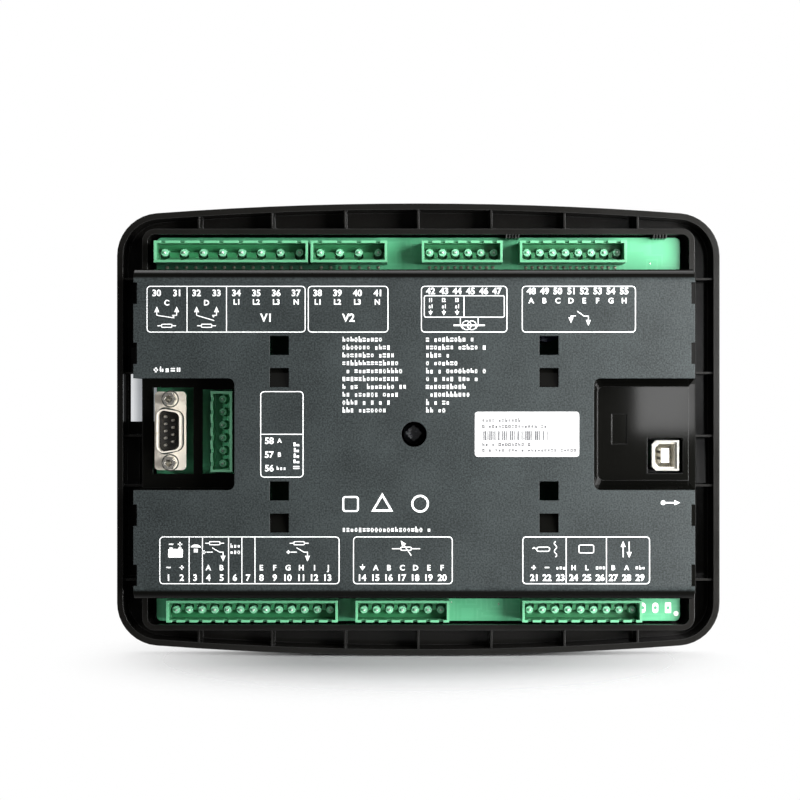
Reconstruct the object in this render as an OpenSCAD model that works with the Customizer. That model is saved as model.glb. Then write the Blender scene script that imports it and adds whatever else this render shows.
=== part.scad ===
/* [Bezel] */
// Width of the bezel
bezel_w = 240; // [238:1:250]
// Height of the bezel at the middle of its bowed edges
bezel_h = 180; // [178:1:190]
// Depth from the front face to the rim that bears on the panel
bezel_d = 15; // [14:0.5:18]
// Radius of the bezel's corners
corner_r = 17; // [12:1:20]
// How far the top and bottom edges bow out between the corners
crown = 3.8; // [2:0.2:5]
// Thickness of the rim
rim_wall = 2.4; // [1.8:0.1:3]
// Rounding of the front edge
front_r = 5; // [3:0.5:7]
// Thickness of the front plate
plate_t = 2.6; // [2.2:0.1:3]

/* [Tray] */
// Width over the tray walls, which pass through the panel
tray_w = 218.8; // [216:0.2:219.6]
// Height over the tray walls
tray_h = 159; // [156:0.5:159.6]
// Thickness of the tray walls
tray_wall = 2.2; // [1.8:0.1:2.6]
// How far the tray walls stand out behind the rim
tray_rise = 4; // [2:0.5:5]
// Radius of the tray's corners
tray_r = 5; // [3:0.5:8]
// Thickness of the webs across the channel
web_t = 0.8; // [0.8:0.1:1.6]
// Distance between the webs along the top and bottom channels
web_pitch = 29.2; // [24:0.2:32]
// How far the webs stop short of the rim
web_drop = 1.6; // [1:0.2:4]
// Height of the outer webs in the side channels
side_web_outer = 60; // [50:1:66]
// Height of the upper inner web in the side channels
side_web_upper = 22.5; // [18:0.5:30]
// Height of the middle of the clip slot
clip_y = -12.5; // [-16:0.5:-10]
// Length of the clip slot
clip_len = 16; // [10:0.5:18]
// Width of the clip slot
clip_w = 5.5; // [4.5:0.5:6]
// Distance from the clip slot's end to the web beside it
clip_web_gap = 1.5; // [1:0.5:4]

/* [Rear cover] */
// Width of the raised cover
cover_w = 215; // [210:1:216]
// Height of the raised cover
cover_h = 127; // [125:1:128]
// Sideways place of the cover's middle
cover_x = -1.9; // [-2:0.1:0]
// Height of the cover's middle
cover_y = -1.4; // [-2:0.1:0]
// How far the cover stands out behind the rim
cover_z = 26; // [24:0.5:32]
// Thickness of the cover
cover_wall = 2.2; // [1.8:0.1:2.6]
// Rounding of the cover's long shoulders
shoulder_r = 5.6; // [4:0.2:7]
// Height of the side bays
bay_h = 42.8; // [40:0.4:46]
// Distance from the cover's middle to a bay's inner wall
bay_in = 68.8; // [67:0.2:70]
// How far the right bay's sides lean in towards its floor
bay_draft = 3; // [0.5:0.1:4]
// Level of the left bay's floor
left_floor = 8.6; // [7.6:0.2:9]
// Level of the right bay's floor
right_floor = 12; // [9:0.5:13]
// Size of the square latch recesses
latch_w = 7.3; // [6:0.1:9]
// Distance from the cover's middle to the latch columns
latch_x = 51.6; // [48:0.2:54]
// Distance from the cover's middle to the outer recesses
latch_outer_y = 34; // [32:0.5:36]
// Distance from the cover's middle to the inner recesses
latch_inner_y = 21.7; // [19:0.1:23]
// Depth of a ramped recess at its deep end
latch_ramp_d = 3.2; // [2.5:0.1:4]
// Length of the snap notches in the cover's sides
notch_h = 8.2; // [6:0.2:10]
// Depth of the snap notches
notch_d = 1.4; // [1:0.1:1.8]
// Distance from the cover's middle to the outer snap notches
notch_outer_y = 54; // [50:0.5:56]
// Distance from the cover's middle to the inner snap notches
notch_inner_y = 31; // [28:0.5:36]
// Radius of the well over the cover screw
well_r = 4.85; // [4.7:0.05:5.4]
// Level of the well's floor
well_floor = 3; // [2.6:0.2:6]
// Radius of the cover screw's head
screw_head_r = 4.3; // [3.6:0.1:4.4]
// Height of the cover screw's head
screw_head_h = 2.6; // [1.8:0.1:3]
// Radius of the screws' shanks
screw_r = 1.5; // [1.2:0.1:1.6]
// Length of the cover screw's shank
screw_len = 11; // [8:0.5:12]
// Width of the rating label
label_w = 40; // [30:1:44]
// Height of the rating label
label_h = 17.3; // [12:0.5:20]
// Distance from the cover's middle to the label's middle
label_x = 43.2; // [34:0.2:44]

/* [Boards] */
// Width of the main board
main_w = 209; // [205:0.5:212]
// Height of the main board
main_h = 153; // [150:0.5:154]
// Level of the main board's rear face
main_z = -2; // [-3:0.1:-1.6]
// Thickness of the boards
board_t = 1.6; // [1.2:0.1:1.8]
// Width of the front board
front_w = 184; // [180:1:184]
// Height of the front board
front_h = 146; // [140:1:148]
// Sideways place of the posts for the main board
post_x = 97; // [96.5:0.1:98]
// Height of the posts for the main board
post_y = 50; // [46:0.5:52]

/* [Terminal headers] */
// Spacing of the narrow terminals
pitch_narrow = 5.08; // [5:0.04:5.08]
// Spacing of the wide terminals
pitch_wide = 7.62; // [7.5:0.02:7.62]
// Housing length beyond the narrow terminals' span
end_narrow = 6.3; // [6.1:0.1:7]
// Housing length beyond the wide terminals' span
end_wide = 7.1; // [6.9:0.1:8]
// Depth of a header over its two long walls
header_w = 8.5; // [8.2:0.1:9]
// Height of a header above the board
header_h = 12; // [11.6:0.2:13]
// Thickness of a header's walls
header_wall = 0.9; // [0.7:0.05:1.1]
// Thickness of a header's floor
header_floor = 3.2; // [2.4:0.1:3.4]
// Radius of the scallops in a header's inner wall
scallop_r = 1.9; // [1.7:0.05:2.1]
// Depth of the scallops
scallop_d = 1.4; // [1:0.05:1.6]
// Width of the coding slots in a header's outer wall
coding_w = 1.8; // [1:0.1:2.2]
// Depth of the coding slots
coding_d = 3; // [2:0.2:5]
// Width of a terminal pin
pin_w = 1; // [0.8:0.05:1.1]
// How far the pin tips lie below the header's mouth
pin_recess = 4.4; // [4.3:0.1:5]
// Height of the upper row of headers
upper_row = 70; // [69:0.1:71]
// Height of the lower row of headers
lower_row = -71.3; // [-72:0.1:-70.5]

/* [Serial port] */
// Sideways place of the serial port
serial_x = -97.4; // [-98.2:0.1:-96.8]
// Height of the serial port
serial_y = -0.4; // [-2:0.05:1]
// Level of the serial port's flange
serial_z = 10; // [9.6:0.1:12]
// Distance between the jack screws
jack_pitch = 24.99; // [24.8:0.01:25.2]
// Radius of the thread in the jack screws
jack_r = 1.42; // [1.3:0.01:1.5]

/* [Data port] */
// Sideways place of the data port
data_x = 96.4; // [95:0.1:97]
// Height of the data port
data_y = -10; // [-11:0.1:0]
// Width of the data port's shell
data_w = 10.6; // [10:0.1:11]
// Height of the data port's shell
data_h = 11.9; // [11:0.1:12.2]
// Size of the square cut-out round the data port
data_cut = 13.8; // [13.2:0.1:14.4]

/* [Front] */
// Width of the display window
display_w = 92; // [80:1:94]
// Height of the display window
display_h = 48; // [40:1:50]
// Height of the display's middle
display_y = 36; // [35:0.5:38]
// Radius of the control keys
key_r = 6.5; // [5:0.1:7]
// Radius of the cursor keys
cursor_r = 5; // [4:0.1:5.2]
// Travel of the keys
key_travel = 1.2; // [0.8:0.1:1.5]
// How far the keys stand proud of the front face
key_proud = 1; // [0.6:0.1:1.6]
// Distance between the control keys
key_pitch = 30; // [24:0.5:30]
// Height of the row of control keys
key_row_y = -58; // [-60:0.5:-56]
// Sideways place of the cursor keys' middle
cursor_x = 74; // [72:0.5:75]
// Distance between the cursor keys
cursor_pitch = 14; // [13.5:0.1:14.5]
// Radius of the status lamps
lamp_r = 1.5; // [1:0.1:1.8]

/* [Hidden] */
$fn = 48;
eps = 0.01;
fit = 0.02;
slip = 0.3;

black = [0.05, 0.05, 0.055];
charcoal = [0.13, 0.13, 0.14];
terminal_green = [0.16, 0.52, 0.3];
board_green = [0.08, 0.38, 0.2];
tin = [0.8, 0.79, 0.76];
white = [0.93, 0.93, 0.92];

plate_back = plate_t - bezel_d;
channel_overlap = 0.5;
main_front = main_z - board_t;
boss_x = cover_x;
boss_y = cover_y;

// Levels of the key stack, from the plate back to the front board
key_flange_t = 1;
key_stem = 1.9;
key_rest_gap = 0.1;
key_lip = 1.3;
front_z = plate_back + key_flange_t + key_stem + key_travel + key_rest_gap;

// Header rows: ways, pitch, end length, x, y, turn
SUPPLY = [13, pitch_narrow, end_narrow, -65.4, lower_row, 180];
SENDER = [7, pitch_narrow, end_narrow, -6.4, lower_row, 180];
BUS = [9, pitch_narrow, end_narrow, 64.2, lower_row, 180];
GENERATOR = [8, pitch_wide, end_wide, -73.7, upper_row, 0];
MAINS = [4, pitch_wide, end_wide, -27.4, upper_row, 0];
CURRENT = [6, pitch_narrow, end_narrow, 17.1, upper_row, 0];
INPUT = [8, pitch_narrow, end_narrow, 60.7, upper_row, 0];
LINK = [6, pitch_narrow, end_narrow, -77.4, -0.7, 90];
HEADERS = [SUPPLY, SENDER, BUS, GENERATOR, MAINS, CURRENT, INPUT, LINK];

// Places of the keys and lamps, seen from the rear
STOP = [2.5 * key_pitch, key_row_y];
MANUAL = [1.5 * key_pitch, key_row_y];
TEST = [0.5 * key_pitch, key_row_y];
AUTO = [-0.5 * key_pitch, key_row_y];
MUTE = [-1.5 * key_pitch, key_row_y];
START = [-2.5 * key_pitch, key_row_y];
transfer_rise = 32;
transfer_x = 0.8 * key_pitch;
OPEN = [transfer_x, key_row_y + transfer_rise];
CLOSE = [-transfer_x, key_row_y + transfer_rise];
CONTROL_KEYS = [STOP, MANUAL, TEST, AUTO, MUTE, START, OPEN, CLOSE];
cursor_y = display_y - 2;
ENTER = [cursor_x, cursor_y];
UP = [cursor_x, cursor_y + cursor_pitch];
DOWN = [cursor_x, cursor_y - cursor_pitch];
LEFT = [cursor_x + cursor_pitch, cursor_y];
RIGHT = [cursor_x - cursor_pitch, cursor_y];
CURSOR_KEYS = [ENTER, UP, DOWN, LEFT, RIGHT];
lamp_rise = 12;
card_y = 18;
card_h = 30;
card_lines = 4;
card_line = card_h / card_lines;
card_lamp_x = -58;
LAMPS = concat([for (k = CONTROL_KEYS) k + [0, lamp_rise]],
  [for (i = [0:card_lines - 1]) [card_lamp_x, card_y + (i - (card_lines - 1) / 2) * card_line]]);

// Posts and screws
post_r = 3.4;
pilot_r = screw_r + fit;
MAIN_POSTS = [for (sx = [-1, 1], sy = [-1, 1]) [sx * post_x, sy * post_y]];
front_post_edge = 5.5;
FRONT_POSTS = [for (sx = [-1, 1], sy = [-1, 1])
  [sx * (front_w / 2 - front_post_edge), sy > 0 ? front_h / 2 - 2 * front_post_edge : key_row_y + transfer_rise]];
board_screw_head_r = 2.8;
board_screw_head_h = 1.7;
board_screw_len = 6;
screw_spare = 1.2;
boss_r = 4;
boss_clear = 0.6;
boss_top = well_floor - cover_wall;

// Outlines made of straight runs and arcs
function unit(v) = v / norm(v);
function turn_between(a, b) = let (d = b - a) d > 180 ? d - 360 : d < -180 ? d + 360 : d;
function fillet_arc(a, p, b, r, n) = let (
  u = unit(a - p),
  v = unit(b - p),
  half = acos(u * v) / 2,
  c = p + unit(u + v) * r / sin(half),
  s = p + u * r / tan(half) - c,
  e = p + v * r / tan(half) - c,
  a0 = atan2(s[1], s[0]),
  da = turn_between(a0, atan2(e[1], e[0]))
) [for (i = [0:n]) c + r * [cos(a0 + da * i / n), sin(a0 + da * i / n)]];
function rounded(pts, r, n = 6) = [for (i = [0:len(pts) - 1])
  each fillet_arc(pts[(i + len(pts) - 1) % len(pts)], pts[i], pts[(i + 1) % len(pts)], r, n)];
function rect(w, h) = [[w / 2, h / 2], [-w / 2, h / 2], [-w / 2, -h / 2], [w / 2, -h / 2]];

corner_x = bezel_w / 2 - corner_r;
crown_r = (corner_x * corner_x + crown * crown) / (2 * crown);
crown_y = bezel_h / 2 - crown_r;
corner_y = crown_y + sqrt(pow(crown_r - corner_r, 2) - corner_x * corner_x);
crown_a = asin(corner_x / (crown_r - corner_r));
corner_steps = 9;
crown_steps = 14;
function spoke(r, a) = r * [cos(a), sin(a)];
function arc_at(c, r, a0, a1, n) = [for (i = [0:n]) c + spoke(r, a0 + (a1 - a0) * i / n)];
function inner_run(pts) = [for (i = [1:len(pts) - 2]) pts[i]];
function bezel_half(inset) = concat(
  arc_at([corner_x, corner_y], corner_r - inset, 0, 90 - crown_a, corner_steps),
  inner_run(arc_at([0, crown_y], crown_r - inset, 90 - crown_a, 90 + crown_a, crown_steps)),
  arc_at([-corner_x, corner_y], corner_r - inset, 90 + crown_a, 180, corner_steps));
function bezel_outline(inset) = concat(bezel_half(inset), [for (p = bezel_half(inset)) -p]);

// The part stands upright, so each piece is drawn in the rear view and turned up
module upright() {
  rotate([90, 0, 0]) children();
}

module slab(pts, z0, z1) {
  translate([0, 0, z0]) linear_extrude(z1 - z0) polygon(pts);
}

module block(x0, x1, y0, y1, z0, z1) {
  translate([x0, y0, z0]) cube([x1 - x0, y1 - y0, z1 - z0]);
}

module post(at, r, z0, z1) {
  translate([at[0], at[1], z0]) cylinder(r = r, h = z1 - z0);
}

// Front bezel: rim with a rolled front edge, channel webs, tray wall and posts
front_steps = 5;
module bezel_blank() {
  hull() {
    for (k = [0:front_steps]) {
      a = 90 * k / front_steps;
      level = front_r * (1 - cos(a)) - bezel_d;
      slab(bezel_outline(front_r * (1 - sin(a))), level, 0);
    }
  }
}

module tray_walls() {
  difference() {
    slab(rounded(rect(tray_w, tray_h), tray_r), plate_back - channel_overlap, tray_rise);
    slab(rounded(rect(tray_w - 2 * tray_wall, tray_h - 2 * tray_wall), tray_r - tray_wall),
      plate_back - 2 * channel_overlap, tray_rise + eps);
  }
}

web_steps = 3;
web_foot = 2;
clip_cover = 1;
clip_web_y = clip_len / 2 + clip_web_gap + web_t / 2;
SIDE_WEBS = [side_web_outer, side_web_upper, clip_y + clip_web_y, clip_y - clip_web_y, -side_web_outer];
module channel_webs() {
  intersection() {
    slab(bezel_outline(rim_wall / 2), plate_back - channel_overlap, -web_drop);
    difference() {
      union() {
        for (i = [-web_steps:web_steps])
          block(i * web_pitch - web_t / 2, i * web_pitch + web_t / 2, -bezel_h, bezel_h,
            plate_back - channel_overlap, -web_drop);
        for (y = SIDE_WEBS)
          block(-bezel_w, bezel_w, y - web_t / 2, y + web_t / 2, plate_back - channel_overlap, -web_drop);
        for (i = [-web_steps:web_steps])
          block(i * web_pitch, i * web_pitch + web_foot, 0, tray_h / 2 + web_t,
            plate_back - channel_overlap, -web_drop);
      }
      block(tray_wall / 2 - tray_w / 2, tray_w / 2 - tray_wall / 2, tray_wall / 2 - tray_h / 2,
        tray_h / 2 - tray_wall / 2, plate_back - bezel_d, tray_rise);
    }
  }
}

// Short ribs on the upper tray wall that hold the main board's edge down
RIB_GROUPS = [37.2, 95.6];
rib_count = 5;
rib_pitch = 1.2;
rib_w = 0.6;
rib_d = 1.6;
module board_ribs() {
  for (x = RIB_GROUPS, i = [0:rib_count - 1])
    translate([x + (i - (rib_count - 1) / 2) * rib_pitch, 0, 0])
      block(-rib_w / 2, rib_w / 2, tray_h / 2 - tray_wall - rib_d, tray_h / 2 - tray_wall / 2,
        main_z + slip, tray_rise);
}

// Sloped pads on the channel floor under the clip slots
pad_gap = 3;
pad_low = 1.2;
pad_high = 2.8;
pad_w = bezel_w / 2 - rim_wall / 2 - tray_w / 2 - pad_gap;
module clip_pads() {
  for (sx = [-1, 1]) translate([sx * (tray_w / 2 + pad_gap + pad_w / 2), clip_y, plate_back])
    rotate([90, 0, 90]) linear_extrude(pad_w, center = true)
      polygon([[-clip_web_y, -channel_overlap], [clip_web_y, -channel_overlap], [clip_web_y, pad_low],
        [-clip_web_y, pad_high]]);
}

overlay_w = 196;
overlay_h = 142;
overlay_r = 8;
overlay_t = 0.3;
lens_ledge = 2;
lens_t = 1.7;
lens_r = 3;
lens_front = overlay_t - bezel_d;
card_t = 0.3;
card_end_gap = 1.2;
card_tab = bezel_w / 2 - rim_wall - card_end_gap - tray_w / 2;
card_slot_play = 0.4;
card_window_w = 24;
card_window_h = 28;
card_window_r = 1.5;
card_window_gap = 6;
card_window_x = card_lamp_x - card_window_gap - card_window_w / 2;

module front_bezel() {
  color(black) upright() difference() {
    union() {
      difference() {
        bezel_blank();
        slab(bezel_outline(rim_wall), plate_back, eps);
      }
      tray_walls();
      channel_webs();
      board_ribs();
      clip_pads();
      for (p = MAIN_POSTS) post(p, post_r, plate_back - channel_overlap, main_front);
      for (p = FRONT_POSTS) post(p, post_r, plate_back - channel_overlap, front_z);
      post([boss_x, boss_y], boss_r, plate_back - channel_overlap, boss_top);
    }
    for (p = MAIN_POSTS) post(p, pilot_r, main_front - board_screw_len, main_front + eps);
    for (p = FRONT_POSTS) post(p, pilot_r, plate_back, front_z + eps);
    post([boss_x, boss_y], pilot_r, boss_top - screw_len, boss_top + eps);
    slab(rounded(rect(overlay_w + 2 * slip, overlay_h + 2 * slip), overlay_r + slip), -bezel_d - eps, lens_front);
    translate([0, display_y]) slab(rounded(rect(display_w + 2 * lens_ledge + 2 * slip,
      display_h + 2 * lens_ledge + 2 * slip), lens_r + slip), -bezel_d - eps, lens_front + lens_t);
    translate([0, display_y]) slab(rounded(rect(display_w, display_h), lens_r), -bezel_d - eps, plate_back + eps);
    translate([card_window_x, card_y]) slab(rounded(rect(card_window_w, card_window_h), card_window_r),
      -bezel_d, plate_back + eps);
    for (k = CONTROL_KEYS) post(k, key_r + slip, -bezel_d - eps, plate_back + eps);
    for (k = CURSOR_KEYS) post(k, cursor_r + slip, -bezel_d - eps, plate_back + eps);
    for (p = LAMPS) post(p, lamp_r + fit, -bezel_d - eps, plate_back + eps);
    for (sx = [-1, 1])
      translate([sx * tray_w / 2, 0, 0]) block(-2 * tray_wall, 2 * tray_wall, clip_y - clip_len / 2,
        clip_y + clip_len / 2, -web_drop - clip_w - clip_cover, -web_drop - clip_cover);
    block(-tray_w / 2 - card_tab - card_slot_play, tray_wall + web_t - tray_w / 2,
      card_y - card_h / 2 - card_slot_play, card_y + card_h / 2 + card_slot_play,
      plate_back, plate_back + card_t + card_slot_play);
  }
}

module front_overlay() {
  color(charcoal) upright() difference() {
    slab(rounded(rect(overlay_w, overlay_h), overlay_r), -bezel_d, lens_front);
    translate([0, display_y]) slab(rounded(rect(display_w, display_h), lens_r), -bezel_d - eps, lens_front + eps);
    for (k = CONTROL_KEYS) post(k, key_r + 2 * slip, -bezel_d - eps, lens_front + eps);
    for (k = CURSOR_KEYS) post(k, cursor_r + 2 * slip, -bezel_d - eps, lens_front + eps);
    for (p = LAMPS) post(p, lamp_r + slip, -bezel_d - eps, lens_front + eps);
  }
}

module display_lens() {
  color([0.6, 0.68, 0.66, 0.4]) upright() translate([0, display_y])
    slab(rounded(rect(display_w + 2 * lens_ledge, display_h + 2 * lens_ledge), lens_r),
      lens_front, lens_front + lens_t);
}

holder_rim = 3;
holder_floor = 1.4;
lcd_clear = 0.25;
module lcd_holder() {
  color(white) upright() translate([0, display_y]) difference() {
    slab(rounded(rect(display_w + 2 * holder_rim, display_h + 2 * holder_rim), lens_r), plate_back, front_z);
    slab(rect(display_w + 2 * slip, display_h + 2 * slip), plate_back - eps, front_z - holder_floor);
  }
}

module lcd_panel() {
  color([0.55, 0.62, 0.45]) upright() translate([0, display_y])
    slab(rect(display_w, display_h), plate_back + lcd_clear, front_z - holder_floor);
}

// Push keys: a dished cap, a retaining flange behind the plate and a stem over the board
key_edge = 0.6;
key_dish = 0.35;
stem_r = 3;
module key(at, r, tint) {
  top = -bezel_d - key_proud;
  color(tint) upright() translate([at[0], at[1]]) rotate_extrude()
    polygon([[0, top + key_dish], [r - 2 * key_edge, top], [r - key_edge, top], [r, top + key_edge],
      [r, plate_back], [r + key_lip, plate_back], [r + key_lip, plate_back + key_flange_t],
      [stem_r, plate_back + key_flange_t],
      [stem_r, plate_back + key_flange_t + key_stem], [0, plate_back + key_flange_t + key_stem]]);
}

mat_t = 1;
mat_clear = 0.5;
mat_edge = 10;
mat_side = 5;
module key_mat() {
  color([0.3, 0.3, 0.32]) upright() difference() {
    union() {
      block(START[0] - mat_edge, STOP[0] + mat_edge, key_row_y - mat_edge, OPEN[1] + mat_edge,
        front_z - mat_t, front_z);
      block(RIGHT[0] - mat_side, LEFT[0] + stem_r + 2 * mat_clear, OPEN[1] + mat_edge, UP[1] + mat_edge,
        front_z - mat_t, front_z);
    }
    for (k = concat(CONTROL_KEYS, CURSOR_KEYS))
      post(k, stem_r + mat_clear, front_z - 2 * mat_t, front_z + eps);
    for (p = LAMPS) post(p, lamp_r + key_lip, front_z - 2 * mat_t, front_z + eps);
    for (p = FRONT_POSTS) post(p, post_r + mat_clear, front_z - 2 * mat_t, front_z + eps);
  }
}

lamp_flange_t = 0.8;
lamp_gap = 0.4;
module status_lamps() {
  color([0.9, 0.9, 0.85]) upright() for (p = LAMPS) {
    post(p, lamp_r, -bezel_d, front_z - lamp_gap);
    difference() {
      post(p, lamp_r + key_lip / 2, plate_back, plate_back + lamp_flange_t);
      post(p, lamp_r - eps, plate_back - eps, plate_back + lamp_flange_t + eps);
    }
  }
}

module front_board() {
  color(board_green) upright() difference() {
    slab(rounded(rect(front_w, front_h), board_r), front_z, front_z + board_t);
    for (p = FRONT_POSTS) post(p, screw_r + slip, front_z - eps, front_z + board_t + eps);
    for (p = MAIN_POSTS) post(p, post_r + boss_clear, front_z - eps, front_z + board_t + eps);
    post([boss_x, boss_y], boss_r + boss_clear, front_z - eps, front_z + board_t + eps);
  }
}

link_w = 40;
link_d = 5;
module board_link() {
  color(black) upright() translate([0, display_y]) slab(rect(link_w, link_d), front_z + board_t, main_front);
}

// Nine-way plug face: two rows of round pins in a D-shaped shell, long side on the left
serial_pitch = 2.77;
serial_row = 1.42;
serial_pin_r = 0.5;
serial_hole_r = 0.6;
SERIAL_PINS = concat([for (i = [-2:2]) [serial_x - serial_row, serial_y + i * serial_pitch]],
  [for (i = [-1.5:1:1.5]) [serial_x + serial_row, serial_y + i * serial_pitch]]);
tail = 1.6;
pin_hole_r = 0.8 * pin_w;
board_r = 2;

module main_board() {
  color(board_green) upright() difference() {
    slab(rounded(rect(main_w, main_h), board_r), main_front, main_z);
    for (h = HEADERS) at_header(h) for (x = terminals(h))
      post([x, 0], pin_hole_r, main_front - eps, main_z + eps);
    for (p = SERIAL_PINS) post(p, serial_hole_r, main_front - eps, main_z + eps);
    for (p = MAIN_POSTS) post(p, screw_r + slip, main_front - eps, main_z + eps);
    post([boss_x, boss_y], boss_r + boss_clear, main_front - eps, main_z + eps);
  }
}

module board_screw(at, seat) {
  post(at, board_screw_head_r, seat, seat + board_screw_head_h);
  post(at, screw_r, seat - board_t - board_screw_len + screw_spare, seat + eps);
}

front_screw_len = 3;
module board_screws() {
  color(tin) upright() {
    for (p = MAIN_POSTS) board_screw(p, main_z);
    for (p = FRONT_POSTS) {
      post(p, board_screw_head_r, front_z + board_t, front_z + board_t + board_screw_head_h);
      post(p, screw_r, front_z - front_screw_len, front_z + board_t + eps);
    }
  }
}

// Parts on the main board, under the cover
relay_w = 10;
relay_l = 20;
relay_h = 15.5;
relay_pitch = 14;
relay_count = 6;
relay_x = -84;
relay_y = -44;
case_r = 0.8;
module power_relays() {
  color([0.12, 0.13, 0.15]) upright() for (i = [0:relay_count - 1])
    translate([relay_x + i * relay_pitch, relay_y])
      slab(rounded(rect(relay_w, relay_l), case_r), main_z, main_z + relay_h);
}

coil_count = 3;
coil_pitch = 20;
coil_x = 10;
coil_y = 42;
coil_r = 7.5;
coil_bore = 2.5;
coil_h = 13;
coil_floor = 2;
module current_transformers() {
  color([0.15, 0.2, 0.4]) upright() for (i = [0:coil_count - 1]) difference() {
    post([coil_x + i * coil_pitch, coil_y], coil_r, main_z, main_z + coil_h);
    post([coil_x + i * coil_pitch, coil_y], coil_bore, main_z + coil_floor, main_z + coil_h + eps);
  }
}

chip_w = 20;
chip_h = 1.4;
chip_at = [22, 20];
module processor_chip() {
  color(black) upright() translate(chip_at)
    slab(rounded(rect(chip_w, chip_w), case_r), main_z, main_z + chip_h);
}

capacitor_r = 6.25;
capacitor_h = 19;
capacitor_pitch = 15;
capacitor_count = 3;
capacitor_at = [20, -44];
module supply_capacitors() {
  color([0.1, 0.12, 0.2]) upright() for (i = [0:capacitor_count - 1])
    post(capacitor_at + [i * capacitor_pitch, 0], capacitor_r, main_z, main_z + capacitor_h);
}

// Terminal headers: a leaning scalloped wall over a ledge, a coded wall and a row of square pins
function terminals(h) = [for (i = [0:h[0] - 1]) (i - (h[0] - 1) / 2) * h[1]];
function header_len(h) = (h[0] - 1) * h[1] + h[2];
scallop_y = header_wall + scallop_d - header_w / 2;
ledge_h = 2.5;
ledge_y = 0.1;

module at_header(h) {
  translate([h[3], h[4], 0]) rotate([0, 0, h[5]]) children();
}

module header_mouth(l) {
  rim = main_z + header_h;
  floor_z = main_z + header_floor;
  rotate([90, 0, 90]) linear_extrude(l - 2 * header_wall, center = true)
    polygon([[header_wall - header_w / 2, rim + eps], [scallop_y, floor_z + ledge_h],
      [ledge_y, floor_z + ledge_h], [ledge_y, floor_z], [header_w / 2 - header_wall, floor_z],
      [header_w / 2 - header_wall, rim + eps]]);
}

module header(h) {
  l = header_len(h);
  rim = main_z + header_h;
  floor_z = main_z + header_floor;
  color(terminal_green) upright() at_header(h) difference() {
    block(-l / 2, l / 2, -header_w / 2, header_w / 2, main_z, rim);
    header_mouth(l);
    for (x = terminals(h)) {
      post([x, scallop_y + scallop_r - scallop_d], scallop_r, floor_z, rim + eps);
      block(x - coding_w / 2, x + coding_w / 2, header_w / 2 - 2 * header_wall, header_w / 2 + eps,
        rim - coding_d, rim + eps);
      block(x - pin_w / 2 - fit, x + pin_w / 2 + fit, -pin_w / 2 - fit, pin_w / 2 + fit,
        main_z - eps, floor_z + eps);
    }
  }
}

tip_len = 0.8;
tip_w = 0.45;
module pin_profile() {
  root = main_front - tail;
  tip = main_z + header_h - pin_recess;
  polygon([[-pin_w / 2, root], [pin_w / 2, root], [pin_w / 2, tip - tip_len], [tip_w / 2, tip],
    [-tip_w / 2, tip], [-pin_w / 2, tip - tip_len]]);
}

module pins(h) {
  color(tin) upright() at_header(h) for (x = terminals(h)) translate([x, 0, 0]) intersection() {
    rotate([90, 0, 0]) linear_extrude(pin_w, center = true) pin_profile();
    rotate([90, 0, 90]) linear_extrude(pin_w, center = true) pin_profile();
  }
}

// Serial port
flange_w = 12.3;
flange_l = 30.8;
flange_t = 0.8;
flange_r = 1.6;
shell_wall = 0.5;
shell_rise = 5.8;
shell_long = 17.9;
shell_short = 15;
shell_d = 9.4;
shell_r = 2.8;
insert_w = 10.4;
insert_l = 19.6;
insert_rise = 0.6;
insert_r = 1;
serial_pin_rise = 5;
jack_af = 4.75;
jack_h = 5;
jack_stud_h = 3;
jack_hole_r = 1.6;
serial_front = serial_z - flange_t;

function d_outline(inset) = let (
  d = shell_d / 2 - inset,
  a = shell_long / 2 - inset,
  b = shell_short / 2 - inset
) rounded([[-d, -a], [d, -b], [d, b], [-d, a]], shell_r - inset);

module serial_port_shell() {
  color(tin) upright() translate([serial_x, serial_y]) difference() {
    union() {
      slab(rounded(rect(flange_w, flange_l), flange_r), serial_front, serial_z);
      slab(d_outline(0), serial_front, serial_z + shell_rise);
    }
    slab(d_outline(shell_wall), serial_front - eps, serial_z + shell_rise + eps);
    for (s = [-1, 1]) post([0, s * jack_pitch / 2], jack_hole_r, serial_front - eps, serial_z + eps);
  }
}

module serial_port_insert() {
  color(black) upright() translate([serial_x, serial_y]) difference() {
    union() {
      slab(rounded(rect(insert_w, insert_l), insert_r), main_z, serial_front);
      slab(d_outline(shell_wall + fit), serial_front - eps, serial_z + insert_rise);
    }
    for (p = SERIAL_PINS)
      post(p - [serial_x, serial_y], serial_pin_r + fit, main_z - eps, serial_z + shell_rise);
  }
}

module serial_port_pins() {
  color([0.85, 0.7, 0.35]) upright() for (p = SERIAL_PINS) {
    post(p, serial_pin_r, main_front - tail, serial_z + serial_pin_rise - serial_pin_r);
    translate([p[0], p[1], serial_z + serial_pin_rise - serial_pin_r])
      cylinder(r1 = serial_pin_r, r2 = serial_pin_r / 2, h = serial_pin_r);
  }
}

module serial_port_jacks() {
  color(tin) upright() for (s = [-1, 1]) translate([serial_x, serial_y + s * jack_pitch / 2]) difference() {
    union() {
      translate([0, 0, serial_z]) cylinder(d = jack_af / cos(30), h = jack_h, $fn = 6);
      post([0, 0], jack_hole_r - fit, serial_front - jack_stud_h, serial_z + eps);
    }
    post([0, 0], jack_r, serial_z, serial_z + jack_h + eps);
  }
}

// Data port
data_wall = 0.8;
lining_t = 0.6;
lining_recess = 1.2;
data_rise = 0.5;
data_top = right_floor + data_rise;
data_floor = 3;
data_bevel = 1.6;
tongue_w = 3.2;
tongue_h = 5.7;
tongue_recess = 0.9;
tongue_base = 2;
contact_w = 1;
contact_t = 0.25;
contact_pitch = 2.4;
contact_recess = 1;
function data_outline(inset) = let (x = data_w / 2 - inset, y = data_h / 2 - inset)
  [[x, y], [data_bevel - x, y], [-x, y - data_bevel], [-x, data_bevel - y], [data_bevel - x, -y], [x, -y]];

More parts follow.
